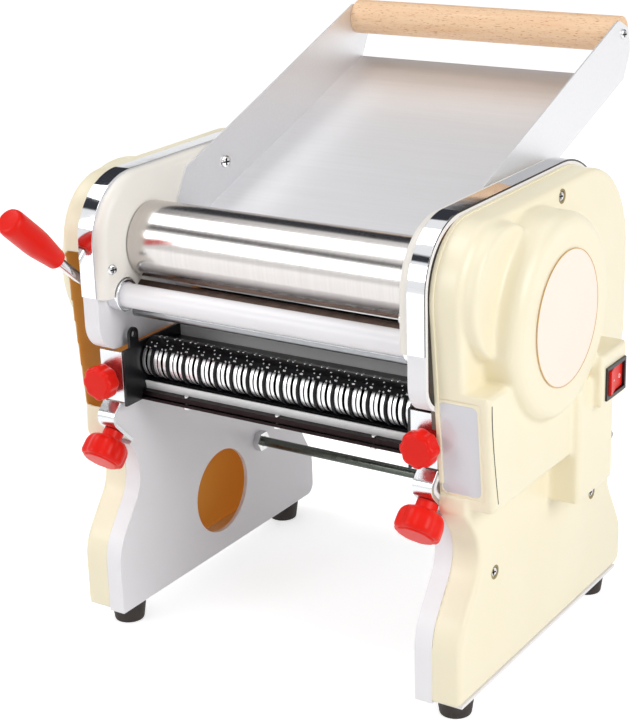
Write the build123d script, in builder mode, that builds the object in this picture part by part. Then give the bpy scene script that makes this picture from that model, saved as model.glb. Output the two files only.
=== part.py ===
from build123d import *
import math
import os

# Electric pasta maker. Millimetres, +Z up, +X towards the motor side, -Y towards the user.
# The origin lies under the middle of the machine, on the plane that its feet stand on.
# Side views are drawn as (y, z) pairs; "inner" is towards the middle of the machine.

# ---------------------------------------------------------------- fits
running_fit = 0.03          # radial, shaft in bearing or bore
screw_fit = 0.2             # radial, screw through a plain hole
gap = 0.3                   # between parts that pass each other

# ---------------------------------------------------------------- press rollers
throat = 220.0              # between the inner cheeks
roller_end_gap = 0.5
roller_r = 26.4
roller_nip = 1.24           # between the rollers at rest
nip_tilt = 29.37            # degrees, the line through both axes rises this much to the front
rear_roller_y, rear_roller_z = -38.4, 254.0
journal_r = 8.0
journal_neck_r = 6.0        # outer part of a journal, which carries the gear or the coupling
nip_travel_open = 2.5       # the lever opens the nip by this much

# ---------------------------------------------------------------- side frames and cheeks
cheek_thickness = 7.5
cheek_bottom = 250.0
cheek_edge_r = 6.0
frame_width = 12.5
frame_web = 3.0
frame_rim = 3.0
foot_height = 17.0
flange_thickness = 2.0
leg_front, leg_rear = -131.0, 115.0
ankle_front_z, ankle_rear_z = 66.0, 50.0
waist_front, waist_front_z = -96.5, 113.0
waist_rear, waist_rear_low, waist_rear_high = 90.0, 92.0, 150.0
shoulder_rear_z = 195.0
leg_top = 171.0
head_bottom = 211.0
neck_front = -45.0
head_front, head_rear, head_top = -136.5, 116.0, 329.5
head_front_r, head_rear_r = 44.0, 67.0
chin_r = 19.0
leg_hole_y, leg_hole_z, leg_hole_r = -7.5, 64.5, 32.0
strip_thickness = 1.2
strip_front_bottom, strip_rear_bottom = 250.5, 215.0
strip_inset = 0.5           # of the strip from the frame's inner face

# ---------------------------------------------------------------- outer covers
cover_depth = 20.0
cover_wall = 2.5
cover_edge_r = 3.5
cover_front, cover_rear, cover_top = -130.0, 112.5, 326.0
cover_chin_y, cover_chin_z = -119.3, 165.0
cover_knee_y, cover_knee_z = -120.5, 146.0
drum_r = 66.0
drum_edge_r = 9.0
left_drum_depth, right_drum_depth = 48.5, 45.5
cover_boss_r, cover_boss_depth = 42.0, 29.0
motor_box_depth = 37.0
motor_box_low, motor_box_high, motor_box_rear = 150.0, 227.0, -8.0
rear_box_depth = 42.5
rear_box_low, rear_box_high, rear_box_end = 116.0, 200.0, 45.0
switch_pad_depth = 50.0
switch_pad_front, switch_pad_rear, switch_pad_low, switch_pad_high = 7.5, 46.0, 179.0, 215.0
window_low, window_high, window_width = 158.0, 221.0, 29.5
window_thickness = 1.6
badge_r, badge_thickness = 43.3, 0.8
cover_screw_points = [(6.0, 318.0), (-84.0, 94.0), (62.0, 93.0)]
cover_post_r = 5.0

# ---------------------------------------------------------------- feed hopper and bars
sheet = 1.2
hopper_lip_y, hopper_lip_z = -27.0, 283.3
hopper_floor_end = 191.0
bar_over_floor = 32.5       # from the end of the floor up to the wooden bar
wooden_bar_y, wooden_bar_z, wooden_bar_r = 187.0, 390.0, 12.7
hopper_bolt_y, hopper_bolt_z = 2.0, 315.0
front_bar_y, front_bar_z, front_bar_r = -115.0, 249.0, 8.2
bar_ring_r, bar_ring_width = 11.2, 9.0
tie_rod_y, tie_rod_z, tie_rod_r, tie_nut_flats, tie_nut_height = 41.0, 88.0, 3.6, 14.0, 5.5
cheek_screw_y, cheek_screw_z = -128.0, 270.0

# ---------------------------------------------------------------- roller adjustment
lever_y, lever_z = -96.0, 232.0
lever_angle = 139.0         # degrees above +Y, seen from +X: it points up and to the front
lever_low, lever_high = -8.0, 46.0
lever_shaft_r = 4.0
lever_rod_r = 3.5
lever_x = 138.0             # distance of the lever's plane from the middle
grip_start, grip_end = 71.0, 127.0
grip_r_inner, grip_r_outer, grip_taper_end = 7.0, 9.6, 94.0
cam_r = 8.0
block_half = 13.0
guide_thickness = 2.5

# ---------------------------------------------------------------- gears
module = 1.375
drive_teeth, idler_teeth, cutter_teeth = 32, 30, 16
tip_relief = 0.2            # teeth end this far inside their pitch circle
gear_width = 6.0
roller_gear_teeth, roller_gear_width = 38, 9.0

# ---------------------------------------------------------------- cutter cassette
cassette_x = 109.5          # inner faces of the cassette's side plates
cassette_plate = 2.0
cassette_front, cassette_rear, cassette_low, cassette_high = -122.0, -55.0, 171.5, 213.0
front_cutter_y, front_cutter_z = -91.3, 198.5
rear_cutter_y, rear_cutter_z = -71.3, 189.0
cutter_ring_r, cutter_core_r, cutter_journal_r = 13.0, 8.0, 4.5
ring_a, groove_a, ring_b, groove_b, ring_c, finger_groove = 2.7, 0.9, 2.4, 1.8, 2.9, 2.4
ring_groups = 16
comb_r, comb_inner_r = 14.3, 9.0
ear_y, ear_z, ear_r, ear_hole_r = -110.0, 220.0, 4.8, 2.2
flange_low, flange_high, flange_end = 174.4, 210.0, 130.0
crossbar_bolt_x = 73.5
crossbar_bolt_y = -102.6

# ---------------------------------------------------------------- knobs and clamps
upper_knob_x, upper_knob_y, upper_knob_z = 123.0, -131.0, 190.0
upper_knob_r, upper_knob_height = 12.25, 12.5
lower_knob_r, lower_knob_height = 15.6, 18.0
clamp_x, clamp_half_width, clamp_thickness = 123.0, 7.0, 2.5
clamp_path = [(-111.5, 141.0), (-131.0, 160.5), (-128.0, 167.0), (-121.5, 173.5)]
clamp_bend = 8.0            # outer radius of the strap's bends
clamp_stud_y, clamp_stud_z, clamp_stud_r = -121.5, 151.0, 3.0
clamp_knob_start = 5.5      # from the strap's outer face to the knob
clamp_travel = 4.0
seat_depth = 4.7            # of the strap's seat in the leg

# ---------------------------------------------------------------- derived places
frame_inner = throat / 2 + cheek_thickness
web_outer = frame_inner + frame_web
frame_outer = frame_inner + frame_width
cover_outer = frame_outer + cover_depth
cover_slant_top = cover_top - head_front_r - 4      # the front leans back below this height
nip_travel_close = -nip_travel_open * lever_low / lever_high
tilt = math.radians(nip_tilt)
slide_y, slide_z = -math.cos(tilt), math.sin(tilt)
roller_spacing = 2 * roller_r + roller_nip
front_roller_y = rear_roller_y + roller_spacing * slide_y
front_roller_z = rear_roller_z + roller_spacing * slide_z
gear_x0, gear_x1 = web_outer + 1.5, web_outer + 1.5 + gear_width
clamp_y, clamp_z = -math.sqrt(0.5), -math.sqrt(0.5)
floor_tan = ((wooden_bar_z - bar_over_floor - hopper_lip_z) / (hopper_floor_end - hopper_lip_y))


# ---------------------------------------------------------------- helpers
def side_plane(x):
    """Plane across the machine at x: drawn in (y, z), extruded towards +X."""
    return Plane(origin=(x, 0, 0), x_dir=(0, 1, 0), z_dir=(1, 0, 0))


def outline(corners):
    """Face inside a closed line through (y, z) or (y, z, corner radius) corners."""
    radii = [corner[2] if len(corner) > 2 else 0 for corner in corners]
    with BuildSketch(Plane.XY) as sketch:
        with BuildLine():
            FilletPolyline([corner[:2] for corner in corners], radius=radii, close=True)
        make_face()
    return sketch.sketch


def inset(face, distance):
    """The same face with its edge moved inwards."""
    with BuildSketch(Plane.XY) as sketch:
        add(face)
        offset(amount=-distance, kind=Kind.INTERSECTION)
    return sketch.sketch


def disc(y, z, radius, bore=0.0):
    """Round face, or a ring if it has a bore."""
    with BuildSketch(Plane.XY) as sketch:
        with Locations((y, z)):
            Circle(radius)
            if bore:
                Circle(bore, mode=Mode.SUBTRACT)
    return sketch.sketch


def hexagon(y, z, flats, bore):
    """Hexagon face with a round bore."""
    with BuildSketch(Plane.XY) as sketch:
        with Locations((y, z)):
            RegularPolygon(flats / 2, 6, major_radius=False)
            Circle(bore, mode=Mode.SUBTRACT)
    return sketch.sketch


def spur(y, z, teeth, size, bore):
    """Spur gear face with straight-sided teeth that end just inside the pitch circle."""
    tip = teeth * size / 2 - tip_relief
    root = tip - 1.3 * size
    step = 2 * math.pi / teeth
    points = []
    for tooth in range(teeth):
        for turn, radius in ((-0.32, root), (-0.16, tip), (0.16, tip), (0.32, root)):
            angle = (tooth + turn) * step
            points.append((y + radius * math.cos(angle), z + radius * math.sin(angle)))
    with BuildSketch(Plane.XY) as sketch:
        with BuildLine():
            Polyline(*points, close=True)
        make_face()
        with Locations((y, z)):
            Circle(bore, mode=Mode.SUBTRACT)
    return sketch.sketch


def parallel(path, distance):
    """Corners of the line beside an open (y, z) path, the distance to its right."""
    corners = []
    steps = [(b[0] - a[0], b[1] - a[1]) for a, b in zip(path, path[1:])]
    units = [(dy / math.hypot(dy, dz), dz / math.hypot(dy, dz)) for dy, dz in steps]
    for point, before, after in zip(path, units[:1] + units, units + units[-1:]):
        share = distance / (1 + before[0] * after[0] + before[1] * after[1])
        corners.append((point[0] + share * (before[1] + after[1]),
                        point[1] - share * (before[0] + after[0])))
    return corners


def band(path, radii, thickness):
    """Face of a strip along a path of right-hand bends, its thickness on the right."""
    inner = parallel(path, thickness)
    ends_and_bends = [0] + radii + [0]
    inner_radii = [max(radius - thickness, 0) for radius in ends_and_bends]
    outer_corners = [(y, z, radius) for (y, z), radius in zip(path, ends_and_bends)]
    inner_corners = [(y, z, radius) for (y, z), radius in zip(inner, inner_radii)]
    return outline(outer_corners + inner_corners[::-1])


def prism(face, x0, x1, mode=Mode.ADD):
    """Run a side-view face along X from x0 to x1 in the part being built."""
    extrude(side_plane(x0) * face, amount=x1 - x0, mode=mode)


def rod(plane, radius, start, end, mode=Mode.ADD):
    """Round bar along a plane's normal, between two distances from its origin."""
    with BuildSketch(plane.offset(start)) as section:
        Circle(radius)
    extrude(section.sketch, amount=end - start, mode=mode)


def knob(plane, radius, height, lobes, bore, bore_depth):
    """Lobed knob on a plane: a boss, a shallowly scalloped body and a raised face."""
    lobe_r = radius * 0.36
    with BuildSketch(plane.offset(height * 0.08)) as body:
        Circle(radius * 0.92)
        with PolarLocations(radius - lobe_r, lobes):
            Circle(lobe_r)
        fillet(body.vertices(), radius * 0.08)
    extrude(body.sketch, amount=height * 0.86)
    rod(plane, radius * 0.6, 0, height * 0.08)
    rod(plane, radius * 0.76, height * 0.94, height)
    rod(plane, bore, -1, bore_depth, Mode.SUBTRACT)


def save(builder, name):
    """Label a finished part and write its STEP file."""
    builder.part.label = name
    export_step(builder.part, f"parts/{name}.step")


def along_slide(d, q):
    """Point at d along the front roller's slide and q across it, from the lever shaft."""
    return lever_y + d * slide_y + q * slide_z, lever_z + d * slide_z - q * slide_y


os.makedirs("parts", exist_ok=True)

# ---------------------------------------------------------------- shared side views
seat = parallel([(clamp_path[0][0] - clamp_y, clamp_path[0][1] + clamp_z)] + clamp_path[1:],
                clamp_thickness + gap)
seat_floor = (seat[0][0] + seat_depth * clamp_y, seat[0][1] + seat_depth * clamp_z)
seat_top = (seat[-1][0] + leg_top - seat[-1][1], leg_top)
seat_bend = clamp_bend - clamp_thickness - gap
head_path = [(head_front, strip_front_bottom), (head_front, head_top), (head_rear, head_top),
             (head_rear, strip_rear_bottom)]
frame_front, frame_rear = head_front + strip_thickness, head_rear - strip_thickness
frame_top = head_top - strip_thickness

frame_face = outline([
    (leg_front, foot_height), (leg_front, ankle_front_z, 40), (waist_front, waist_front_z, 34),
    seat_floor, seat[0], (*seat[1], seat_bend), (*seat[2], seat_bend), seat_top,
    (neck_front, leg_top, 6), (neck_front, head_bottom, 6), (frame_front, head_bottom, chin_r),
    (frame_front, frame_top, head_front_r - strip_thickness),
    (frame_rear, frame_top, head_rear_r - strip_thickness), (frame_rear, shoulder_rear_z, 40),
    (waist_rear, waist_rear_high, 40), (waist_rear, waist_rear_low, 40),
    (leg_rear, ankle_rear_z, 30), (leg_rear, foot_height, 8),
])
cover_face = outline([
    (cover_front, cover_slant_top), (cover_front, cover_top, head_front_r - strip_inset),
    (cover_rear, cover_top, head_rear_r - strip_inset), (cover_rear, shoulder_rear_z, 40),
    (waist_rear, waist_rear_high, 40), (waist_rear, waist_rear_low, 40),
    (leg_rear, ankle_rear_z, 30), (leg_rear, foot_height + flange_thickness, 8),
    (leg_front, foot_height + flange_thickness), (leg_front, ankle_front_z, 40),
    (waist_front, waist_front_z, 30), (cover_knee_y, cover_knee_z, 6),
    (cover_chin_y, cover_chin_z),
])
drive_r, idler_r, cutter_gear_r = (n * module / 2 for n in (drive_teeth, idler_teeth, cutter_teeth))
train_dy, train_dz = rear_cutter_y - rear_roller_y, rear_cutter_z - rear_roller_z
train = math.hypot(train_dy, train_dz)
idler_along = ((drive_r + idler_r) ** 2 - (idler_r + cutter_gear_r) ** 2 + train ** 2) / (2 * train)
idler_aside = math.sqrt((drive_r + idler_r) ** 2 - idler_along ** 2)
idler_y = rear_roller_y + (idler_along * train_dy + idler_aside * train_dz) / train
idler_z = rear_roller_z + (idler_along * train_dz - idler_aside * train_dy) / train

block_d = ((front_roller_y - lever_y) * slide_y + (front_roller_z - lever_z) * slide_z)
block_q = ((front_roller_y - lever_y) * slide_z - (front_roller_z - lever_z) * slide_y)
lever_middle = math.radians((lever_low + lever_high) / 2)
cam_throw = (nip_travel_open + nip_travel_close) / 2 / math.sin(
    math.radians((lever_high - lever_low) / 2))
tail_d = cam_r - cam_throw * math.sin(lever_middle) + gap
tail_width, tail_foot = 7.0, -8.0
cam_turn = math.atan2(slide_z, slide_y) - math.pi / 2 - lever_middle
cam_y = lever_y + cam_throw * math.cos(cam_turn)
cam_z = lever_z + cam_throw * math.sin(cam_turn)
block_clear = nip_travel_open + 1.0
guide_low, guide_high = block_q - block_half - gap, block_q + block_half + gap
block_end = block_d + block_half + block_clear

motor_bolt_circle, motor_bolt_angles, motor_bolt_r = 44.0, (75, 0, -55), 2.0
motor_r, motor_flange_r, motor_end = 46.0, 50.0, 171.0
motor_bosses = [(rear_roller_y + motor_bolt_circle * math.cos(math.radians(angle)),
                 rear_roller_z + motor_bolt_circle * math.sin(math.radians(angle)))
                for angle in motor_bolt_angles]
screw_shank_r, screw_head_r, screw_head = 1.7, 3.5, 2.0
foot_x, foot_points = 133.3, (-106.0, 94.0)
foot_screw_r, foot_nut_r = 2.1, 3.0


def clamp_plane(side):
    """Plane on the outer face of a clamp strap at its stud, its normal along the stud."""
    return Plane(origin=(side * clamp_x, clamp_stud_y, clamp_stud_z), x_dir=(1, 0, 0),
                 z_dir=(0, clamp_y, clamp_z))


# ---------------------------------------------------------------- side frames
pocket = inset(frame_face, frame_rim)
for side, hand in ((-1, "left"), (1, "right")):
    with BuildPart() as side_frame:
        prism(frame_face, side * frame_inner, side * frame_outer)
        prism(pocket, side * web_outer, side * frame_outer, Mode.SUBTRACT)
        # Foot flange that reaches out under the cover.
        prism(outline([(leg_front + 3, foot_height), (leg_front + 3, foot_height + flange_thickness),
                       (leg_rear - 9, foot_height + flange_thickness), (leg_rear - 9, foot_height)]),
              side * frame_outer, side * cover_outer)
        # Guides of the front bearing block, above it and below it on both sides of its tail.
        for d0, d1, q0, q1 in (
                (block_d - block_half - 3, block_end, guide_high, guide_high + guide_thickness),
                (tail_d + tail_width + block_clear, block_end, guide_low - guide_thickness, guide_low),
                (block_d - block_half - 3, tail_d - 1, guide_low - guide_thickness, guide_low)):
            guide = outline([along_slide(d, q) for d, q in ((d0, q0), (d1, q0), (d1, q1), (d0, q1))])
            prism(guide, side * web_outer, side * (frame_outer - 1))
        # Bosses: rear bearing, cover screws, clamp stud.
        bearing_seat_r, bearing_seat_end = 14.0, web_outer + 1
        prism(disc(rear_roller_y, rear_roller_z, bearing_seat_r), side * web_outer,
              side * bearing_seat_end)
        for y, z in cover_screw_points:
            prism(disc(y, z, cover_post_r), side * web_outer, side * frame_outer)
            prism(disc(y, z, screw_shank_r + running_fit), side * (frame_outer - 8),
                  side * frame_outer, Mode.SUBTRACT)
        rod(clamp_plane(side), 5.5, -14, -clamp_thickness - gap - 1)
        rod(clamp_plane(side), clamp_stud_r + running_fit, -12, 0, Mode.SUBTRACT)
        # Bores through the web.
        prism(disc(rear_roller_y, rear_roller_z, 11 + running_fit), side * frame_inner,
              side * bearing_seat_end, Mode.SUBTRACT)
        prism(disc(front_roller_y, front_roller_z, journal_r + block_clear), side * frame_inner,
              side * web_outer, Mode.SUBTRACT)
        prism(disc(lever_y, lever_z, lever_shaft_r + running_fit), side * frame_inner,
              side * web_outer, Mode.SUBTRACT)
        prism(disc(tie_rod_y, tie_rod_z, tie_rod_r + running_fit), side * frame_inner,
              side * web_outer, Mode.SUBTRACT)
        prism(disc(leg_hole_y, leg_hole_z, leg_hole_r), side * frame_inner, side * web_outer,
              Mode.SUBTRACT)
        prism(disc(cheek_screw_y, cheek_screw_z, screw_shank_r + running_fit),
              side * frame_inner, side * web_outer, Mode.SUBTRACT)
        prism(disc(hopper_bolt_y, hopper_bolt_z, screw_shank_r + running_fit),
              side * frame_inner, side * web_outer, Mode.SUBTRACT)
        for y in foot_points:
            with BuildSketch(Plane.XY.offset(foot_height)) as foot_hole:
                with Locations((side * foot_x, y)):
                    Circle(foot_screw_r + running_fit)
            extrude(foot_hole.sketch, amount=flange_thickness, mode=Mode.SUBTRACT)
        if side > 0:
            # Motor bosses, and room for the idler where it leaves the head of the frame.
            prism(disc(idler_y, idler_z, idler_r + 1), web_outer + 1, frame_outer, Mode.SUBTRACT)
            for y, z in motor_bosses:
                prism(disc(y, z, 5), web_outer, frame_outer)
                prism(disc(y, z, motor_bolt_r + running_fit), web_outer, frame_outer, Mode.SUBTRACT)
    save(side_frame, f"{hand}_side_frame")

    with BuildPart() as trim_strip:
        prism(band(head_path, [head_front_r, head_rear_r], strip_thickness),
              side * (frame_inner + strip_inset), side * frame_outer)
    save(trim_strip, f"{hand}_trim_strip")

    # Inner cheek: a thick plastic plate with a rounded edge that carries the bar and the hopper.
    cheek_face = outline([(frame_front, cheek_bottom), (frame_front, frame_top, head_front_r),
                          (frame_rear, frame_top, head_rear_r), (frame_rear, cheek_bottom)])
    with BuildPart() as inner_cheek:
        prism(cheek_face, side * frame_inner, side * throat / 2)
        edge_group = inner_cheek.edges().group_by(Axis.X)[-1 if side < 0 else 0]
        fillet(edge_group.filter_by(lambda edge: edge.center().Z > cheek_bottom + 1), cheek_edge_r)
        for y, z, radius in ((rear_roller_y, rear_roller_z, journal_r + 1.5),
                             (front_roller_y, front_roller_z, journal_r + block_clear),
                             (front_bar_y, front_bar_z, bar_ring_r + 0.8),
                             (cheek_screw_y, cheek_screw_z, screw_shank_r + screw_fit),
                             (hopper_bolt_y, hopper_bolt_z, screw_shank_r + screw_fit)):
            prism(disc(y, z, radius), side * throat / 2, side * frame_inner, Mode.SUBTRACT)
    save(inner_cheek, f"{hand}_inner_cheek")

# ---------------------------------------------------------------- outer covers
cover_inside = inset(cover_face, cover_wall)


def cover_screw_holes(side):
    """Posts inside a cover with a stepped hole for each screw, and holes over the foot nuts."""
    for y in foot_points:
        foot_plane = Plane(origin=(side * foot_x, y, foot_height + flange_thickness))
        rod(foot_plane, foot_nut_r + 0.5, -1, cover_wall + 1, Mode.SUBTRACT)
    for y, z in cover_screw_points:
        prism(disc(y, z, cover_post_r), side * frame_outer, side * (cover_outer - 1))
        prism(disc(y, z, screw_shank_r + screw_fit), side * frame_outer, side * cover_outer,
              Mode.SUBTRACT)
        prism(disc(y, z, screw_head_r + 0.5), side * (cover_outer - screw_head - 0.5),
              side * cover_outer, Mode.SUBTRACT)


def shell_feature(face, side, depth, edge_r):
    """Solid feature of a cover, from the frame's outer face outwards, its outer edge rounded."""
    with BuildPart() as feature:
        prism(face, side * frame_outer, side * (frame_outer + depth))
        fillet(feature.edges().group_by(Axis.X)[-1 if side > 0 else 0], edge_r)
    return feature.part


with BuildPart() as left_outer_cover:
    add(shell_feature(cover_face, -1, cover_depth, cover_edge_r))
    add(shell_feature(disc(rear_roller_y, rear_roller_z, drum_r), -1, left_drum_depth,
                      drum_edge_r))
    prism(cover_inside, -frame_outer, cover_wall - cover_outer, Mode.SUBTRACT)
    add(shell_feature(disc(rear_roller_y, rear_roller_z, drum_r - cover_wall), -1,
                      left_drum_depth - cover_wall, drum_edge_r - cover_wall), mode=Mode.SUBTRACT)
    # Open front for the thickness lever.
    prism(outline([(cover_front - 5, cover_chin_z), (cover_front - 5, cover_slant_top),
                   (cover_front + 12, cover_slant_top), (cover_front + 24, cover_chin_z)]),
          -frame_outer, cover_wall - cover_outer, Mode.SUBTRACT)
    cover_screw_holes(-1)
save(left_outer_cover, "left_outer_cover")


def front_at(z):
    """Front of the covers at height z, where they lean back."""
    lean = (cover_chin_y - cover_front) / (cover_slant_top - cover_chin_z)
    return cover_front + lean * (cover_slant_top - z)


def motor_box(shrink):
    """Side view of the motor box behind the leaning front, moved in by shrink."""
    low, high = motor_box_low + shrink, motor_box_high - shrink
    return outline([(front_at(low) + shrink, low), (front_at(high) + shrink, high),
                    (motor_box_rear - shrink, high), (motor_box_rear - shrink, low)])


def upright_box(front, rear, low, high, shrink):
    """Rectangular side view, moved in by shrink."""
    return outline([(front + shrink, low + shrink), (front + shrink, high - shrink),
                    (rear - shrink, high - shrink), (rear - shrink, low + shrink)])


rear_box = (motor_box_rear - 2, rear_box_end, rear_box_low, rear_box_high)
switch_pad = (switch_pad_front, switch_pad_rear, switch_pad_low, switch_pad_high)
switch_y, switch_z = 27.0, 194.2
bezel_length, bezel_height, bezel_thickness = 30.0, 22.5, 1.5
rocker_length, rocker_height = 25.0, 17.0
switch_x = frame_outer + switch_pad_depth
gland_x, gland_z, gland_r, gland_length = 161.0, 142.0, 6.5, 11.0

with BuildPart() as right_outer_cover:
    for face, depth, edge_r in (
            (cover_face, cover_depth, cover_edge_r),
            (disc(front_roller_y, front_roller_z, cover_boss_r), cover_boss_depth, cover_edge_r),
            (motor_box(0), motor_box_depth, cover_edge_r),
            (upright_box(*rear_box, 0), rear_box_depth, cover_edge_r),
            (disc(rear_roller_y, rear_roller_z, drum_r), right_drum_depth, drum_edge_r),
            (upright_box(*switch_pad, 0), switch_pad_depth, cover_edge_r - 1)):
        add(shell_feature(face, 1, depth, edge_r))
    prism(cover_inside, frame_outer, cover_outer - cover_wall, Mode.SUBTRACT)
    for hollow, depth, edge_r in (
            (disc(front_roller_y, front_roller_z, cover_boss_r - cover_wall), cover_boss_depth, 1),
            (motor_box(cover_wall), motor_box_depth, 1),
            (upright_box(*rear_box, cover_wall), rear_box_depth, 1),
            (disc(rear_roller_y, rear_roller_z, drum_r - cover_wall), right_drum_depth,
             drum_edge_r - cover_wall),
            (upright_box(*switch_pad, cover_wall), switch_pad_depth, 1)):
        add(shell_feature(hollow, 1, depth - cover_wall, edge_r), mode=Mode.SUBTRACT)
    cover_screw_holes(1)
    # Window in the leaning front, switch opening and gland hole.
    window_x0, window_x1 = frame_outer + gap, frame_outer + window_width
    prism(outline([(front_at(window_low) - 5, window_low), (front_at(window_high) - 5, window_high),
                   (front_at(window_high) + cover_wall + 1, window_high),
                   (front_at(window_low) + cover_wall + 1, window_low)]),
          window_x0, window_x1, Mode.SUBTRACT)
    switch_hole = upright_box(switch_y - bezel_length / 2 + 1.5, switch_y + bezel_length / 2 - 1.5,
                              switch_z - bezel_height / 2 + 1.5, switch_z + bezel_height / 2 - 1.5, 0)
    prism(switch_hole, switch_x - cover_wall - 1, switch_x, Mode.SUBTRACT)
    gland_plane = Plane(origin=(gland_x, rear_box_end, gland_z), x_dir=(1, 0, 0), z_dir=(0, 1, 0))
    rod(gland_plane, gland_r + running_fit, -cover_wall - 1, 1, Mode.SUBTRACT)
save(right_outer_cover, "right_outer_cover")

with BuildPart() as window_plate:
    depth_0 = 0.6
    depth_1 = depth_0 + window_thickness
    prism(outline([(front_at(window_low) + depth_0, window_low),
                   (front_at(window_high) + depth_0, window_high),
                   (front_at(window_high) + depth_1, window_high),
                   (front_at(window_low) + depth_1, window_low)]), window_x0, window_x1)
save(window_plate, "window_plate")

with BuildPart() as badge_disc:
    badge_x = frame_outer + right_drum_depth
    prism(disc(rear_roller_y, rear_roller_z, badge_r), badge_x, badge_x + badge_thickness)
save(badge_disc, "badge_disc")

# ---------------------------------------------------------------- rocker switch and gland
rocker_pivot_x = switch_x - 2.5
rocker_pin_r, rocker_pin = 1.2, 1.1
pivot_plane = Plane(origin=(rocker_pivot_x, switch_y, switch_z))

with BuildPart() as switch_bezel:
    prism(upright_box(switch_y - bezel_length / 2, switch_y + bezel_length / 2,
                      switch_z - bezel_height / 2, switch_z + bezel_height / 2, 0),
          switch_x, switch_x + bezel_thickness)
    prism(switch_hole, switch_x - 12, switch_x)
    prism(upright_box(switch_y - rocker_length / 2 - gap, switch_y + rocker_length / 2 + gap,
                      switch_z - rocker_height / 2 - gap, switch_z + rocker_height / 2 + gap, 0),
          switch_x - 7, switch_x + bezel_thickness, Mode.SUBTRACT)
    rod(pivot_plane, rocker_pin_r + running_fit, -bezel_height / 2, bezel_height / 2, Mode.SUBTRACT)
save(switch_bezel, "switch_bezel")

rocker_tilt = 8.0
rocker_crest, rocker_valley = 3.9, 2.9       # of its face above the pivot
with BuildPart() as rocker_switch:
    rocker_plane = Plane(origin=(rocker_pivot_x, switch_y, switch_z - rocker_height / 2),
                         x_dir=(1, 0, 0), z_dir=(0, 0, 1)).rotated((0, 0, rocker_tilt))
    half = rocker_length / 2 - 0.2
    with BuildSketch(rocker_plane):
        with BuildLine():
            Polyline((rocker_crest, -half), (rocker_valley, 0), (rocker_crest, half), (-1, half),
                     (-2.5, 0), (-1, -half), close=True)
        make_face()
    extrude(amount=rocker_height)
    rod(pivot_plane, rocker_pin_r, -rocker_height / 2 - rocker_pin, rocker_height / 2 + rocker_pin)
save(rocker_switch, "rocker_switch")

with BuildPart() as power_inlet:
    rod(gland_plane, gland_r, -cover_wall - 2, gland_length)
    rod(gland_plane, gland_r + 2, 0, 3)
    rod(gland_plane, 3.5, -cover_wall - 2, gland_length, Mode.SUBTRACT)
save(power_inlet, "power_inlet")

# ---------------------------------------------------------------- fixed bars and fasteners
with BuildPart() as front_bar:
    prism(disc(front_bar_y, front_bar_z, front_bar_r), -frame_inner, frame_inner)
save(front_bar, "front_bar")

with BuildPart() as front_bar_rings:
    for side in (-1, 1):
        prism(disc(front_bar_y, front_bar_z, bar_ring_r, front_bar_r + running_fit),
              side * (frame_inner - bar_ring_width), side * frame_inner)
save(front_bar_rings, "front_bar_rings")

with BuildPart() as tie_rod:
    tie_rod_end = web_outer + tie_nut_height + 2
    prism(disc(tie_rod_y, tie_rod_z, tie_rod_r), -tie_rod_end, tie_rod_end)
save(tie_rod, "tie_rod")

with BuildPart() as tie_rod_nuts:
    nut_face = hexagon(tie_rod_y, tie_rod_z, tie_nut_flats, tie_rod_r + running_fit)
    for side in (-1, 1):
        prism(nut_face, side * (frame_inner - tie_nut_height), side * frame_inner)
        prism(nut_face, side * web_outer, side * (web_outer + tie_nut_height))
save(tie_rod_nuts, "tie_rod_nuts")

foot_top_r, foot_bottom_r, foot_recess_r, foot_recess = 13.0, 10.5, 5.5, 8.0
with BuildPart() as rubber_feet:
    for x in (-foot_x, foot_x):
        for y in foot_points:
            profile_plane = Plane(origin=(x, y, 0), x_dir=(1, 0, 0), z_dir=(0, -1, 0))
            with BuildSketch(profile_plane):
                with BuildLine():
                    Polyline((foot_recess_r, 0), (foot_bottom_r, 0), (foot_top_r, foot_height),
                             (foot_screw_r + running_fit, foot_height),
                             (foot_screw_r + running_fit, foot_recess),
                             (foot_recess_r, foot_recess), close=True)
                make_face()
            revolve(axis=Axis((x, y, 0), (0, 0, 1)))
save(rubber_feet, "rubber_feet")

with BuildPart() as foot_screws:
    for x in (-foot_x, foot_x):
        for y in foot_points:
            foot_plane = Plane(origin=(x, y, 0))
            rod(foot_plane, foot_recess_r - 1, foot_recess - 3, foot_recess)
            rod(foot_plane, foot_screw_r, foot_recess, foot_height + flange_thickness)
            rod(foot_plane, foot_nut_r, foot_height + flange_thickness,
                foot_height + flange_thickness + 3)
save(foot_screws, "foot_screws")

with BuildPart() as cover_screws:
    for side in (-1, 1):
        for y, z in cover_screw_points:
            head_base = cover_outer - screw_head - 0.5
            prism(disc(y, z, screw_head_r), side * head_base, side * (head_base + screw_head))
            prism(disc(y, z, screw_shank_r), side * (frame_outer - 7), side * head_base)
save(cover_screws, "cover_screws")

with BuildPart() as cheek_screws:
    for side in (-1, 1):
        cheek_face_x = throat / 2
        prism(disc(cheek_screw_y, cheek_screw_z, screw_head_r), side * (cheek_face_x - screw_head),
              side * cheek_face_x)
        prism(disc(cheek_screw_y, cheek_screw_z, screw_shank_r), side * cheek_face_x,
              side * web_outer)
save(cheek_screws, "cheek_screws")

# ---------------------------------------------------------------- feed hopper
def hopper_floor(y):
    """Height of the hopper floor's underside at y."""
    return hopper_lip_z + (y - hopper_lip_y) * floor_tan


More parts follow.
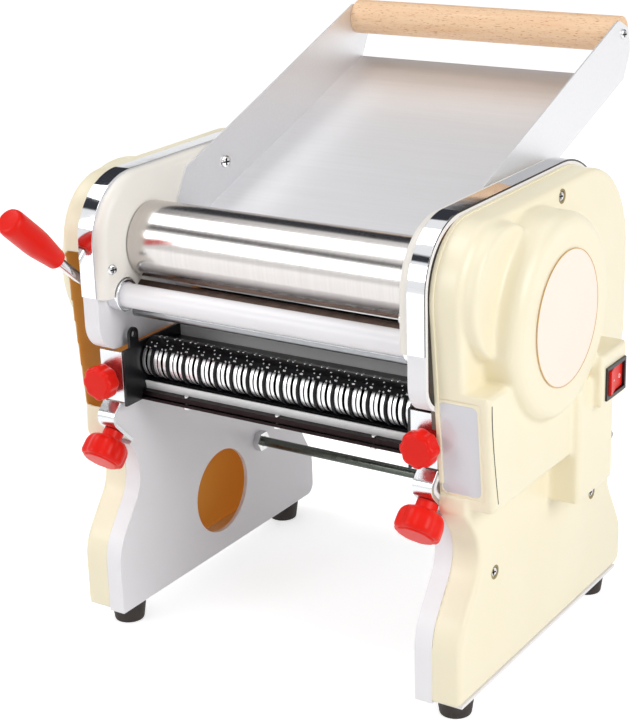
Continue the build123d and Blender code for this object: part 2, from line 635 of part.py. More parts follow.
plate_face = outline([
    (hopper_lip_y, hopper_lip_z), (-54, 287, 3), (-54, 302, 3), (-43, 321, 5), (-26, 326, 10),
    (wooden_bar_y - 7, wooden_bar_z + 11, 8), (wooden_bar_y + 10, wooden_bar_z + 3, 6),
    (wooden_bar_y + 14, wooden_bar_z - 14, 8),
    (hopper_floor_end, hopper_floor(hopper_floor_end), 3),
])
with BuildPart() as feed_hopper:
    for side in (-1, 1):
        prism(plate_face, side * throat / 2, side * (throat / 2 - sheet))
        for y, z in ((hopper_bolt_y, hopper_bolt_z), (wooden_bar_y, wooden_bar_z)):
            prism(disc(y, z, screw_shank_r + screw_fit), side * throat / 2,
                  side * (throat / 2 - sheet), Mode.SUBTRACT)
    floor_up = sheet * math.hypot(1, floor_tan)
    prism(outline([(hopper_lip_y, hopper_lip_z),
                   (hopper_floor_end, hopper_floor(hopper_floor_end)),
                   (hopper_floor_end, hopper_floor(hopper_floor_end) + floor_up),
                   (hopper_lip_y, hopper_lip_z + floor_up)]),
          -throat / 2, throat / 2)
save(feed_hopper, "feed_hopper")

plate_inner = throat / 2 - sheet
with BuildPart() as hopper_bolts:
    for side in (-1, 1):
        prism(disc(hopper_bolt_y, hopper_bolt_z, 4.5), side * (plate_inner - 2.5),
              side * plate_inner)
        prism(disc(hopper_bolt_y, hopper_bolt_z, screw_shank_r), side * plate_inner,
              side * web_outer)
save(hopper_bolts, "hopper_bolts")

bar_screw_depth = 20.0
with BuildPart() as wooden_bar:
    prism(disc(wooden_bar_y, wooden_bar_z, wooden_bar_r), -plate_inner, plate_inner)
    for side in (-1, 1):
        prism(disc(wooden_bar_y, wooden_bar_z, screw_shank_r + running_fit), side * plate_inner,
              side * (plate_inner - bar_screw_depth), Mode.SUBTRACT)
save(wooden_bar, "wooden_bar")

with BuildPart() as bar_end_screws:
    for side in (-1, 1):
        prism(disc(wooden_bar_y, wooden_bar_z, screw_head_r), side * throat / 2,
              side * (throat / 2 + screw_head))
        prism(disc(wooden_bar_y, wooden_bar_z, screw_shank_r), side * throat / 2,
              side * (throat / 2 - bar_screw_depth))
save(bar_end_screws, "bar_end_screws")

# ---------------------------------------------------------------- rollers and their drive
roller_end = throat / 2 - roller_end_gap
left_gear_x0, left_gear_x1 = -frame_outer - 2, -frame_outer - 2 - roller_gear_width
roller_gear_module = (roller_spacing - nip_travel_close) / roller_gear_teeth
coupling_x1 = frame_outer + 7
for name, y, z, right_end in (("front", front_roller_y, front_roller_z, frame_outer - 1),
                              ("rear", rear_roller_y, rear_roller_z, coupling_x1 - 1)):
    with BuildPart() as press_roller:
        prism(disc(y, z, roller_r), -roller_end, roller_end)
        chamfer(press_roller.edges().filter_by(GeomType.CIRCLE), 0.6)
        prism(disc(y, z, journal_r), 1 - frame_outer, frame_outer - 1)
        prism(disc(y, z, journal_neck_r), left_gear_x1, right_end)
    save(press_roller, f"{name}_press_roller")

    with BuildPart() as roller_gear:
        prism(spur(y, z, roller_gear_teeth, roller_gear_module, journal_neck_r + running_fit),
              left_gear_x0, left_gear_x1)
    save(roller_gear, f"{name}_roller_gear")

with BuildPart() as front_bearing_blocks:
    block_face = outline([along_slide(d, q) for d, q in (
        (tail_d, tail_foot), (tail_d + tail_width, tail_foot),
        (tail_d + tail_width, block_q - block_half), (block_d + block_half, block_q - block_half),
        (block_d + block_half, block_q + block_half), (block_d - block_half, block_q + block_half),
        (block_d - block_half, block_q - block_half), (tail_d, block_q - block_half))])
    for side in (-1, 1):
        prism(block_face, side * (web_outer + 0.5), side * (frame_outer - 1))
        prism(disc(front_roller_y, front_roller_z, journal_r + running_fit), side * web_outer,
              side * frame_outer, Mode.SUBTRACT)
save(front_bearing_blocks, "front_bearing_blocks")

with BuildPart() as rear_roller_bearings:
    for side in (-1, 1):
        prism(disc(rear_roller_y, rear_roller_z, 11, journal_r + running_fit),
              side * frame_inner, side * bearing_seat_end)
save(rear_roller_bearings, "rear_roller_bearings")

with BuildPart() as cutter_drive_gear:
    prism(spur(rear_roller_y, rear_roller_z, drive_teeth, module, journal_r + running_fit),
          gear_x0, gear_x1)
save(cutter_drive_gear, "cutter_drive_gear")

idler_pin_r = 4.0
with BuildPart() as idler_gear:
    prism(spur(idler_y, idler_z, idler_teeth, module, idler_pin_r + running_fit), gear_x0, gear_x1)
save(idler_gear, "idler_gear")

with BuildPart() as idler_pin:
    prism(disc(idler_y, idler_z, idler_pin_r), web_outer + 1, frame_outer - 1)
    prism(disc(idler_y, idler_z, idler_pin_r + 2), web_outer + 1, gear_x0 - 0.2)
save(idler_pin, "idler_pin")

with BuildPart() as motor_coupling:
    prism(disc(rear_roller_y, rear_roller_z, 9, journal_neck_r + running_fit), frame_outer - 0.5,
          coupling_x1)
save(motor_coupling, "motor_coupling")

with BuildPart() as gear_motor:
    prism(disc(rear_roller_y, rear_roller_z, motor_flange_r), frame_outer, frame_outer + 3)
    prism(disc(rear_roller_y, rear_roller_z, motor_r), frame_outer + 3, motor_end)
    prism(disc(rear_roller_y, rear_roller_z, 11), frame_outer, coupling_x1 + 1, Mode.SUBTRACT)
    for y, z in motor_bosses:
        prism(disc(y, z, motor_bolt_r + screw_fit), frame_outer, frame_outer + 3, Mode.SUBTRACT)
        prism(disc(y, z, 4.5), frame_outer + 3, frame_outer + 12, Mode.SUBTRACT)
save(gear_motor, "gear_motor")

with BuildPart() as motor_screws:
    for y, z in motor_bosses:
        prism(disc(y, z, motor_bolt_r), web_outer, frame_outer + 3)
        prism(disc(y, z, 3.8), frame_outer + 3, frame_outer + 6)
save(motor_screws, "motor_screws")

scraper_thickness = 1.2
with BuildPart() as roller_scrapers:
    # Blades close under the front roller and behind the rear one, held between the cheeks.
    front_blade = [(-98.4, 255.6), (-103.3, 251.5)]
    rear_blade = [(-10.8, 257.0), (6.0, 262.5)]
    for blade in (front_blade, rear_blade):
        prism(outline(blade + parallel(blade, -scraper_thickness)[::-1]), -throat / 2, throat / 2)
save(roller_scrapers, "roller_scrapers")

# ---------------------------------------------------------------- thickness lever
with BuildPart() as adjusting_shaft:
    prism(disc(lever_y, lever_z, lever_shaft_r), -lever_x - 4, frame_outer - 1)
    for side in (-1, 1):
        prism(disc(cam_y, cam_z, cam_r), side * gear_x0, side * gear_x1)
save(adjusting_shaft, "adjusting_shaft")

lever_turn = math.radians(lever_angle)
lever_plane = Plane(origin=(-lever_x, lever_y, lever_z), x_dir=(1, 0, 0),
                    z_dir=(0, math.cos(lever_turn), math.sin(lever_turn)))
hub_r = 9.0
with BuildPart() as lever_rod:
    rod(lever_plane, lever_rod_r, 0, grip_end - 8)
    prism(disc(lever_y, lever_z, hub_r), -lever_x - lever_rod_r - 0.5, -lever_x + lever_rod_r + 0.5)
    prism(disc(lever_y, lever_z, lever_shaft_r + running_fit), -lever_x - 10, -lever_x + 10,
          Mode.SUBTRACT)
save(lever_rod, "lever_rod")

with BuildPart() as lever_grip:
    with BuildSketch(Plane(origin=lever_plane.origin, x_dir=(1, 0, 0), z_dir=-lever_plane.y_dir)):
        with BuildLine():
            FilletPolyline((lever_rod_r + running_fit, grip_start), (grip_r_inner, grip_start),
                           (grip_r_outer, grip_taper_end), (grip_r_outer, grip_end),
                           (0, grip_end), (0, grip_end - 8),
                           (lever_rod_r + running_fit, grip_end - 8),
                           radius=[0, 1.5, 30, 4, 0, 0, 0], close=True)
        make_face()
    revolve(axis=Axis(lever_plane.origin, lever_plane.z_dir))
save(lever_grip, "lever_grip")

# ---------------------------------------------------------------- cutter cassette
cassette_outer = cassette_x + cassette_plate
with BuildPart() as cassette_side_plates:
    for side in (-1, 1):
        prism(outline([(cassette_front, cassette_low), (cassette_front, cassette_high - 2, 2),
                       (ear_y - ear_r, cassette_high - 2, 1), (ear_y - ear_r, ear_z, 0),
                       (ear_y + ear_r, ear_z, 0), (ear_y + ear_r, cassette_high, 1),
                       (cassette_rear, cassette_high, 2), (cassette_rear, cassette_low + 6, 3),
                       (front_cutter_y, cassette_low, 3)]),
              side * cassette_x, side * cassette_outer)
        prism(disc(ear_y, ear_z, ear_r), side * cassette_x, side * cassette_outer)
        prism(disc(ear_y, ear_z, ear_hole_r), side * cassette_x, side * cassette_outer,
              Mode.SUBTRACT)
        for y, z in ((front_cutter_y, front_cutter_z), (rear_cutter_y, rear_cutter_z)):
            prism(disc(y, z, cutter_journal_r + running_fit), side * cassette_x,
                  side * cassette_outer, Mode.SUBTRACT)
save(cassette_side_plates, "cassette_side_plates")

flange_thick = 1.5
flange_rear = cassette_front + flange_thick
with BuildPart() as cassette_flanges:
    for side in (-1, 1):
        prism(outline([(cassette_front, flange_low), (cassette_front, flange_high),
                       (flange_rear, flange_high), (flange_rear, flange_low)]),
              side * cassette_outer, side * flange_end)
        knob_plane = Plane(origin=(side * upper_knob_x, cassette_front, upper_knob_z),
                           x_dir=(1, 0, 0), z_dir=(0, -1, 0))
        rod(knob_plane, clamp_stud_r + running_fit, -flange_thick, 0, Mode.SUBTRACT)
save(cassette_flanges, "cassette_flanges")


def ring_spans():
    """Axial spans (start, end) of the front cutter's rings, group by group."""
    group = ring_a + groove_a + ring_b + groove_b + ring_c
    total = groove_b + ring_b + ring_c + ring_groups * (group + finger_groove)
    x = -total / 2
    spans = [(x, x + ring_b), (x + ring_b + groove_b, x + ring_b + groove_b + ring_c)]
    x = spans[-1][1]
    for _ in range(ring_groups):
        x += finger_groove
        for ring, groove in ((ring_a, groove_a), (ring_b, groove_b), (ring_c, 0)):
            spans.append((x, x + ring))
            x += ring + groove
    return spans


def ringed_roller(y, z, spans, ring_r, core_r, left_end, right_end):
    """Shaft with rings, turned about the X line through (y, z)."""
    points = [(-cassette_x + gap, core_r)]
    for start, end in spans:
        points += [(start, core_r), (start, ring_r), (end, ring_r), (end, core_r)]
    points += [(cassette_x - gap, core_r), (cassette_x - gap, cutter_journal_r),
               (right_end, cutter_journal_r), (right_end, 0), (left_end, 0),
               (left_end, cutter_journal_r), (-cassette_x + gap, cutter_journal_r)]
    plane = Plane(origin=(0, y, z), x_dir=(1, 0, 0), z_dir=(0, -1, 0))
    with BuildSketch(plane) as section:
        with BuildLine():
            Polyline(*points, close=True)
        make_face()
    revolve(section.sketch, axis=Axis((0, y, z), (1, 0, 0)))


front_spans = ring_spans()
wide_grooves = [(a[1], b[0]) for a, b in zip(front_spans, front_spans[1:]) if b[0] - a[1] > 1.5]
rear_spans = [(start + gap, end - gap) for start, end in wide_grooves]
finger_spans = [span for span in wide_grooves if span[1] - span[0] > groove_b + 0.1]
rear_ring_r, rear_core_r = 12.6, 8.6
with BuildPart() as front_cutter_roller:
    ringed_roller(front_cutter_y, front_cutter_z, front_spans, cutter_ring_r, cutter_core_r,
                  -cassette_outer - 8, cassette_outer + 1)
save(front_cutter_roller, "front_cutter_roller")

with BuildPart() as rear_cutter_roller:
    ringed_roller(rear_cutter_y, rear_cutter_z, rear_spans, rear_ring_r, rear_core_r,
                  -cassette_outer - 8, gear_x1)
save(rear_cutter_roller, "rear_cutter_roller")

cutter_spacing = math.hypot(front_cutter_y - rear_cutter_y, front_cutter_z - rear_cutter_z)
pair_module = cutter_spacing / cutter_teeth
pair_x0, pair_x1 = -cassette_outer - 1.5, -cassette_outer - 6.5
with BuildPart() as front_cutter_gear:
    prism(spur(front_cutter_y, front_cutter_z, cutter_teeth, pair_module,
               cutter_journal_r + running_fit), pair_x0, pair_x1)
save(front_cutter_gear, "front_cutter_gear")

with BuildPart() as rear_cutter_gears:
    prism(spur(rear_cutter_y, rear_cutter_z, cutter_teeth, pair_module,
               cutter_journal_r + running_fit), pair_x0, pair_x1)
    prism(spur(rear_cutter_y, rear_cutter_z, cutter_teeth, module,
               cutter_journal_r + running_fit), gear_x0, gear_x1)
save(rear_cutter_gears, "rear_cutter_gears")

comb_top, comb_bottom, comb_width = 38.0, 265.0, 1.8
comb_plate = [(-80.6, 207.6), (-59.2, 203.3)]


def comb_finger():
    """Ring sector that wraps the front of the front cutter."""
    with BuildSketch(Plane.XY) as sketch:
        with Locations((front_cutter_y, front_cutter_z)):
            Circle(comb_r)
            Circle(comb_inner_r, mode=Mode.SUBTRACT)
        with BuildLine():
            corners = [(front_cutter_y, front_cutter_z)]
            for angle in (comb_bottom, (comb_bottom + 360 + comb_top) / 2, comb_top + 360):
                turn = math.radians(angle)
                corners.append((front_cutter_y + 3 * comb_r * math.cos(turn),
                                front_cutter_z + 3 * comb_r * math.sin(turn)))
            Polyline(*corners, close=True)
        make_face(mode=Mode.SUBTRACT)
    return sketch.sketch


with BuildPart() as cutter_comb:
    finger = comb_finger()
    for start, end in finger_spans:
        middle = (start + end) / 2
        prism(finger, middle - comb_width / 2, middle + comb_width / 2)
    prism(outline([(-98, 181), (-98, 184.9), (-86, 184.9), (-86, 181)]), -cassette_x, cassette_x)
    prism(outline(comb_plate + parallel(comb_plate, -sheet)[::-1]), -cassette_x, cassette_x)
save(cutter_comb, "cutter_comb")

crossbar_top, crossbar_low = 178.0, 174.6
with BuildPart() as chute_strip:
    prism(outline([(-99.6, crossbar_top), (-101.0, 184), (-99.8, 184), (-98.4, crossbar_top)]),
          -cassette_x, cassette_x)
save(chute_strip, "chute_strip")

with BuildPart() as rear_guide_plate:
    prism(outline([(-58.4, 202), (-58.6, 215), (-57.4, 215), (-57.2, 202)]),
          -cassette_x, cassette_x)
save(rear_guide_plate, "rear_guide_plate")

bolt_points = (-crossbar_bolt_x, 0, crossbar_bolt_x)
bolt_r = 1.2
with BuildPart() as cassette_crossbars:
    prism(outline([(-104.5, crossbar_low), (-104.5, crossbar_top), (-97, crossbar_top),
                   (-97, crossbar_low)]), -cassette_x, cassette_x)
    prism(outline([(-106, 172), (-106, 174), (-98, 174), (-98, 172)]), -cassette_x, cassette_x)
    for x in bolt_points:
        rod(Plane(origin=(x, crossbar_bolt_y, 0)), bolt_r + running_fit, 171, 179, Mode.SUBTRACT)
save(cassette_crossbars, "cassette_crossbars")

with BuildPart() as crossbar_bolts:
    for x in bolt_points:
        bolt_plane = Plane(origin=(x, crossbar_bolt_y, 0))
        rod(bolt_plane, bolt_r, 170.6, crossbar_top)
        rod(bolt_plane, 1.6, crossbar_top, crossbar_top + 1.2)
        rod(bolt_plane, 2.8, 170.4, 172)
save(crossbar_bolts, "crossbar_bolts")

# ---------------------------------------------------------------- knobs and clamps
for side, hand in ((-1, "left"), (1, "right")):
    upper_plane = Plane(origin=(side * upper_knob_x, upper_knob_y + upper_knob_height / 2,
                                upper_knob_z), x_dir=(1, 0, 0), z_dir=(0, -1, 0))
    with BuildPart() as upper_knob:
        knob(upper_plane, upper_knob_r, upper_knob_height, 8, clamp_stud_r + running_fit, 9)
    save(upper_knob, f"{hand}_upper_knob")

    with BuildPart() as lower_knob:
        knob(clamp_plane(side).offset(clamp_knob_start), lower_knob_r, lower_knob_height, 8,
             clamp_stud_r + gap, 12)
        rod(clamp_plane(side), 7.0, 0.2, clamp_knob_start)
        rod(clamp_plane(side), clamp_stud_r + gap, 0, clamp_knob_start + 12, Mode.SUBTRACT)
    save(lower_knob, f"{hand}_lower_knob")

    with BuildPart() as clamp_strap:
        prism(band(clamp_path, [clamp_bend, clamp_bend], clamp_thickness),
              side * (clamp_x - clamp_half_width), side * (clamp_x + clamp_half_width))
        rod(clamp_plane(side), clamp_stud_r + gap, -5, 1, Mode.SUBTRACT)
    save(clamp_strap, f"{hand}_clamp_strap")

with BuildPart() as upper_knob_studs:
    for side in (-1, 1):
        stud_plane = Plane(origin=(side * upper_knob_x, cassette_front, upper_knob_z),
                           x_dir=(1, 0, 0), z_dir=(0, -1, 0))
        rod(stud_plane, clamp_stud_r, -flange_thick, 10)
        rod(stud_plane, 5, -flange_thick - 2, -flange_thick)
save(upper_knob_studs, "upper_knob_studs")

with BuildPart() as clamp_studs:
    for side in (-1, 1):
        rod(clamp_plane(side), clamp_stud_r, -12, clamp_knob_start + 11)
save(clamp_studs, "clamp_studs")
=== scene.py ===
import math

import bmesh
import bpy
import numpy as np
from mathutils import Matrix, Vector
from mathutils.bvhtree import BVHTree


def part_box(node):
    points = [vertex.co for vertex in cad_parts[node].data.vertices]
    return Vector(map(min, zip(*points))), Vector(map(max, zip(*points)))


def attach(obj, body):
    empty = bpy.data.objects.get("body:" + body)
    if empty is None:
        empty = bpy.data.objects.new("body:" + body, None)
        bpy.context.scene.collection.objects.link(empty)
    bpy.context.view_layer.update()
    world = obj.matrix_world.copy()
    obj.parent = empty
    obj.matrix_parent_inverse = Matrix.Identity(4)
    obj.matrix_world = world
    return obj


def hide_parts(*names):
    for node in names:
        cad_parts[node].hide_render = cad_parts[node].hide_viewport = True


# Electric pasta maker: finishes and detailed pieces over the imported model. Metres, +Z up,
# +X towards the motor side, -Y towards the user.

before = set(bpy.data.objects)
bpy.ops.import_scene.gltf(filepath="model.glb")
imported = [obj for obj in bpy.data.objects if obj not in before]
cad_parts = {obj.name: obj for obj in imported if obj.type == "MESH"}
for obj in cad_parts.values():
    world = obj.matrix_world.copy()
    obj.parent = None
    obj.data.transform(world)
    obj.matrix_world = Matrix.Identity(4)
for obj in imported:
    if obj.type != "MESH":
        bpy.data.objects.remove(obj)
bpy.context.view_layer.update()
scene = bpy.context.scene
MM = 0.001


# ---------------------------------------------------------------- camera
def aim_camera():
    """Camera at the viewing angle: azimuth, elevation and roll in degrees, place in mm."""
    azimuth, elevation, roll = (math.radians(angle) for angle in (33.233, 19.439, -1.740))
    place_mm, lens_mm = (625.72, -1010.06, 605.42), 90.49
    back = Vector((math.sin(azimuth) * math.cos(elevation),
                   -math.cos(azimuth) * math.cos(elevation), math.sin(elevation)))
    level = (-back).cross(Vector((0, 0, 1))).normalized()
    upright = level.cross(-back)
    side = level * math.cos(roll) + upright * math.sin(roll)
    top = upright * math.cos(roll) - level * math.sin(roll)
    data = bpy.data.cameras.new("camera")
    data.lens, data.clip_end = lens_mm, 50
    camera = bpy.data.objects.new("camera", data)
    facing = Matrix((side, top, back)).transposed().to_4x4()
    camera.matrix_world = Matrix.Translation(Vector(place_mm) * MM) @ facing
    scene.collection.objects.link(camera)
    scene.camera = camera


# ---------------------------------------------------------------- nodes and colours
def linear(hex_colour):
    """Linear RGBA of an sRGB hex colour."""
    shares = [int(hex_colour[i:i + 2], 16) / 255 for i in (1, 3, 5)]
    return (*(s / 12.92 if s <= 0.04045 else ((s + 0.055) / 1.055) ** 2.4 for s in shares), 1)


def add(tree, kind, inputs=None, **settings):
    """Add a node with its settings; an input given as an output is linked, others are set."""
    made = tree.nodes.new(kind)
    for name, value in settings.items():
        setattr(made, name, value)
    for name, value in (inputs or {}).items():
        if isinstance(value, bpy.types.NodeSocket):
            tree.links.new(value, made.inputs[name])
        else:
            made.inputs[name].default_value = value
    return made


def material(name, **surface):
    """Material with its shader's own values set; gives it with its tree, shader and place."""
    made = bpy.data.materials.new(name)
    made.use_nodes = True
    tree = made.node_tree
    shader = tree.nodes["Principled BSDF"]
    for socket, value in surface.items():
        shader.inputs[socket.replace("_", " ")].default_value = value
    return made, tree, shader, add(tree, "ShaderNodeTexCoord").outputs["Object"]


# ---------------------------------------------------------------- finishes
def drive(tree, shader, roughness, relief, colour=None):
    """Let patterns drive a shader: roughness (pattern, low, high), relief (pattern, depth in
    mm, strength) and colour (pattern, dark, light)."""
    if colour:
        pattern, dark, light = colour
        mix = add(tree, "ShaderNodeMix", {0: pattern, 6: linear(dark), 7: linear(light)},
                  data_type="RGBA")
        tree.links.new(mix.outputs[2], shader.inputs["Base Color"])
    pattern, low, high = roughness
    spans = add(tree, "ShaderNodeMapRange", {"Value": pattern, "To Min": low, "To Max": high})
    tree.links.new(spans.outputs["Result"], shader.inputs["Roughness"])
    height, depth_mm, strength = relief
    bump = add(tree, "ShaderNodeBump", {"Height": height, "Distance": depth_mm * MM,
                                        "Strength": strength})
    tree.links.new(bump.outputs["Normal"], shader.inputs["Normal"])


def moulded_abs(name, dark, light, low=0.3, high=0.4, **surface):
    """Injection-moulded ABS: a satin skin with soft flow clouds and a fine eroded grain."""
    made, tree, shader, place = material(name, IOR=1.52, **surface)
    # Clouds some 70 mm across, grain of 0.7 mm.
    clouds = add(tree, "ShaderNodeTexNoise",
                 {"Vector": place, "Scale": 14, "Detail": 2}).outputs["Fac"]
    grain = add(tree, "ShaderNodeTexNoise",
                {"Vector": place, "Scale": 1400, "Detail": 2}).outputs["Fac"]
    drive(tree, shader, (clouds, low, high), (grain, 0.03, 0.25), (clouds, dark, light))
    return made


def sprayed_enamel(name, dark, light):
    """Enamel sprayed on a casting: glossy, with the slow orange peel of a thick coat."""
    made, tree, shader, place = material(name, IOR=1.5)
    # Peel of 2.4 mm, clouds some 110 mm across.
    peel = add(tree, "ShaderNodeTexNoise",
               {"Vector": place, "Scale": 420, "Detail": 1}).outputs["Fac"]
    clouds = add(tree, "ShaderNodeTexNoise",
                 {"Vector": place, "Scale": 9, "Detail": 3}).outputs["Fac"]
    drive(tree, shader, (clouds, 0.32, 0.42), (peel, 0.05, 0.2), (clouds, dark, light))
    return made


def bright_chrome(name, colour):
    """Chrome-plated steel: a clear mirror, with the faint waves of the polished sheet."""
    made, tree, shader, place = material(name, Metallic=1, Base_Color=linear(colour))
    # Waves some 18 mm long, haze of 4 mm.
    waves = add(tree, "ShaderNodeTexNoise",
                {"Vector": place, "Scale": 55, "Detail": 1}).outputs["Fac"]
    haze = add(tree, "ShaderNodeTexNoise",
               {"Vector": place, "Scale": 240, "Detail": 3}).outputs["Fac"]
    drive(tree, shader, (haze, 0.03, 0.1), (waves, 0.12, 0.3))
    return made


def brushed_steel(name, dark, light, stretch, low, high):
    """Brushed or ground steel: streaks along the belt's run, which spread the highlights."""
    made, tree, shader, place = material(name, Metallic=1)
    along = add(tree, "ShaderNodeMapping", {"Vector": place, "Scale": stretch})
    streaks = add(tree, "ShaderNodeTexNoise", {"Vector": along.outputs["Vector"], "Scale": 1,
                                               "Detail": 4, "Roughness": 0.65}).outputs["Fac"]
    drive(tree, shader, (streaks, low, high), (streaks, 0.01, 0.3), (streaks, dark, light))
    return made


def plated_steel(name, dark, light, low=0.16, high=0.3):
    """Zinc-plated or machined steel: bright, a little cloudy, with fine tool marks."""
    made, tree, shader, place = material(name, Metallic=1)
    # Clouds of 6 mm, tool marks of 0.7 mm.
    clouds = add(tree, "ShaderNodeTexNoise",
                 {"Vector": place, "Scale": 160, "Detail": 3}).outputs["Fac"]
    marks = add(tree, "ShaderNodeTexNoise",
                {"Vector": place, "Scale": 1500, "Detail": 2}).outputs["Fac"]
    drive(tree, shader, (clouds, low, high), (marks, 0.01, 0.25), (clouds, dark, light))
    return made


def black_acetal(name, **surface):
    """Moulded black acetal or oiled black steel: deep black, a waxy sheen, faint drag marks."""
    made, tree, shader, place = material(name, IOR=1.48, **surface)
    # Marks 17 mm long and 1.4 mm wide.
    drag = add(tree, "ShaderNodeMapping", {"Vector": place, "Scale": (60, 700, 700)})
    marks = add(tree, "ShaderNodeTexNoise", {"Vector": drag.outputs["Vector"], "Scale": 1,
                                             "Detail": 3}).outputs["Fac"]
    drive(tree, shader, (marks, 0.24, 0.42), (marks, 0.02, 0.2),
          (marks, "#0C0C0E", "#1B1B1E"))
    return made


def foot_rubber(name):
    """Moulded rubber: nearly matt, brown-black, with a fine grain and a grey bloom."""
    made, tree, shader, place = material(name, IOR=1.5)
    # Grain of 1.1 mm, bloom in patches of 17 mm.
    grain = add(tree, "ShaderNodeTexNoise",
                {"Vector": place, "Scale": 900, "Detail": 3}).outputs["Fac"]
    bloom = add(tree, "ShaderNodeTexNoise",
                {"Vector": place, "Scale": 60, "Detail": 2}).outputs["Fac"]
    drive(tree, shader, (grain, 0.6, 0.8), (grain, 0.06, 0.5),
          (bloom, "#1D1816", "#3A302B"))
    return made


def oiled_beech(name):
    """Turned and oiled beech: pale growth bands along the bar and short dark ray flecks."""
    made, tree, shader, place = material(name, IOR=1.45)
    # Bands some 3 mm apart over tens of millimetres; flecks about 0.4 mm wide and 4 mm long,
    # drawn a little coarser than real ones so that they show.
    length = add(tree, "ShaderNodeMapping", {"Vector": place, "Scale": (14, 330, 330)})
    bands = add(tree, "ShaderNodeTexNoise", {"Vector": length.outputs["Vector"], "Scale": 1,
                                             "Detail": 4, "Roughness": 0.6})
    fleck_place = add(tree, "ShaderNodeMapping", {"Vector": place, "Scale": (240, 2200, 2200)})
    flecks = add(tree, "ShaderNodeTexNoise", {"Vector": fleck_place.outputs["Vector"],
                                              "Scale": 1, "Detail": 2})
    pores = add(tree, "ShaderNodeMapRange", {"Value": flecks.outputs["Fac"], "From Min": 0.6,
                                             "From Max": 0.7})
    wood = add(tree, "ShaderNodeMix", {0: bands.outputs["Fac"], 6: linear("#E5B284"),
                                       7: linear("#FADDBB")}, data_type="RGBA")
    marked = add(tree, "ShaderNodeMix", {0: pores.outputs["Result"], 6: wood.outputs[2],
                                         7: linear("#B97A4C")}, data_type="RGBA")
    tree.links.new(marked.outputs[2], shader.inputs["Base Color"])
    drive(tree, shader, (bands.outputs["Fac"], 0.4, 0.55),
          (pores.outputs["Result"], -0.08, 0.4))
    return made


cream_abs = moulded_abs("cream_moulded_abs", "#F2E8C9", "#F9F1D8")
# The inside is painted amber as a painted shade of the cream wall, and made to glow as painted
# light for the daylight that comes through the thin wall, seen from inside.
inside_painted_shade_glow = moulded_abs("cover_inside_painted_shade_glow", "#C08438", "#D49A4C", 0.4, 0.5,
                           Emission_Color=linear("#B8762C"), Emission_Strength=0.35)
cheek_abs = moulded_abs("white_moulded_abs", "#EDE8DF", "#F3EFE8", 0.35, 0.45)
red_abs = moulded_abs("red_moulded_abs", "#E01004", "#EC1C08", 0.3, 0.42,
                      Specular_IOR_Level=0.22)
# Painted shade: the rim round each cover screw is coloured dark brown for the shade in its pit.
pit_painted_shade = moulded_abs("screw_pit_painted_shade", "#8E7E50", "#A39264", 0.5, 0.6)
# Acrylic, vinyl, pad print and the painted gap shade have the moulded skin too, glossier or
# duller.
window_acrylic = moulded_abs("grey_cast_acrylic", "#D6D7DD", "#E0E1E6", 0.08, 0.14)
badge_face = moulded_abs("bare_badge_vinyl", "#F8E9DA", "#FCF0E3", 0.4, 0.5)
white_print = moulded_abs("white_pad_print", "#F4F4F0", "#FFFFFF", 0.4, 0.5)
# Painted shade: a dark grey band fills the gap between the trim strip and the right cover's lip.
gap_shade_band = moulded_abs("gap_painted_shade", "#6A665C", "#7A766C", 0.6, 0.7)
white_enamel = sprayed_enamel("white_sprayed_enamel", "#ECEAEE", "#F4F3F5")
motor_paint = sprayed_enamel("grey_motor_enamel", "#4B4E52", "#5B5E62")
# Painted reflection: the polished chute strip and rear guide plate get a near-white enamel for
# the white floor they reflect, so they stay bright from every side.
sheet_painted_reflection = sprayed_enamel("sheet_painted_reflection_enamel", "#EEEEEE", "#FAFAFA")
chrome = bright_chrome("chrome_plated_steel", "#E4E5E8")
# The streaks run across the hopper's slope, and round the turned rollers and rings.
hopper_steel = brushed_steel("satin_rolled_stainless", "#E6E6E8", "#F0F0F2", (9, 420, 420),
                             0.42, 0.52)
roller_steel = brushed_steel("ground_stainless", "#C2BEBB", "#D5D1CF", (700, 12, 12),
                             0.15, 0.22)
ring_steel = brushed_steel("turned_bright_steel", "#E6E6E8", "#F8F8FA", (1500, 40, 40),
                           0.3, 0.4)
zinc = plated_steel("zinc_plated_steel", "#C9CCCE", "#E2E4E6")
bright_screw = plated_steel("nickel_plated_screws", "#C4C5C6", "#E4E4E4", 0.1, 0.2)
gear_steel = plated_steel("machined_gear_steel", "#8D8F92", "#A9ABAE", 0.25, 0.4)
rod_steel = plated_steel("phosphated_rod_steel", "#4C514C", "#6A6F69", 0.22, 0.35)
scraper_steel = plated_steel("blued_spring_steel", "#453A36", "#6B5A52", 0.25, 0.4)
crossbar_steel = plated_steel("browned_steel", "#1C1412", "#32272A", 0.3, 0.42)
# Dark steel: painted shade in the screws' cross recesses, and the dark parting seam of the motor
# box.
recess_shade_and_seam = plated_steel("recess_shade_and_seam_steel", "#2A2A2B", "#454546", 0.3, 0.45)
# Painted shade: near black for the deep shade in the cutter rollers' grooves.
groove_painted_shade = plated_steel("groove_painted_shade_steel", "#08080A", "#17171A", 0.3, 0.45)
# Painted shade: dark brown for the outer side faces of the trim strips.
trim_side_painted_shade = plated_steel("trim_side_painted_shade_steel", "#37322F", "#524B47", 0.3, 0.4)
gilt_edge = plated_steel("gilt_badge_edge", "#C79E62", "#DDBA84", 0.25, 0.35)
acetal = black_acetal("black_acetal")
comb_black = black_acetal("blacked_comb_steel", Specular_IOR_Level=0.15)
rubber = foot_rubber("moulded_rubber")
beech = oiled_beech("oiled_beech")


# ---------------------------------------------------------------- pieces
def node_copy(name, flat=0.5):
    """Welded copy of a node's mesh, faces within a small angle of each other joined."""
    copy = bmesh.new()
    copy.from_mesh(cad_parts[name].data)
    bmesh.ops.remove_doubles(copy, verts=copy.verts, dist=2e-6)
    if flat:
        bmesh.ops.dissolve_limit(copy, angle_limit=math.radians(flat), verts=copy.verts,
                                 edges=copy.edges)
    return copy


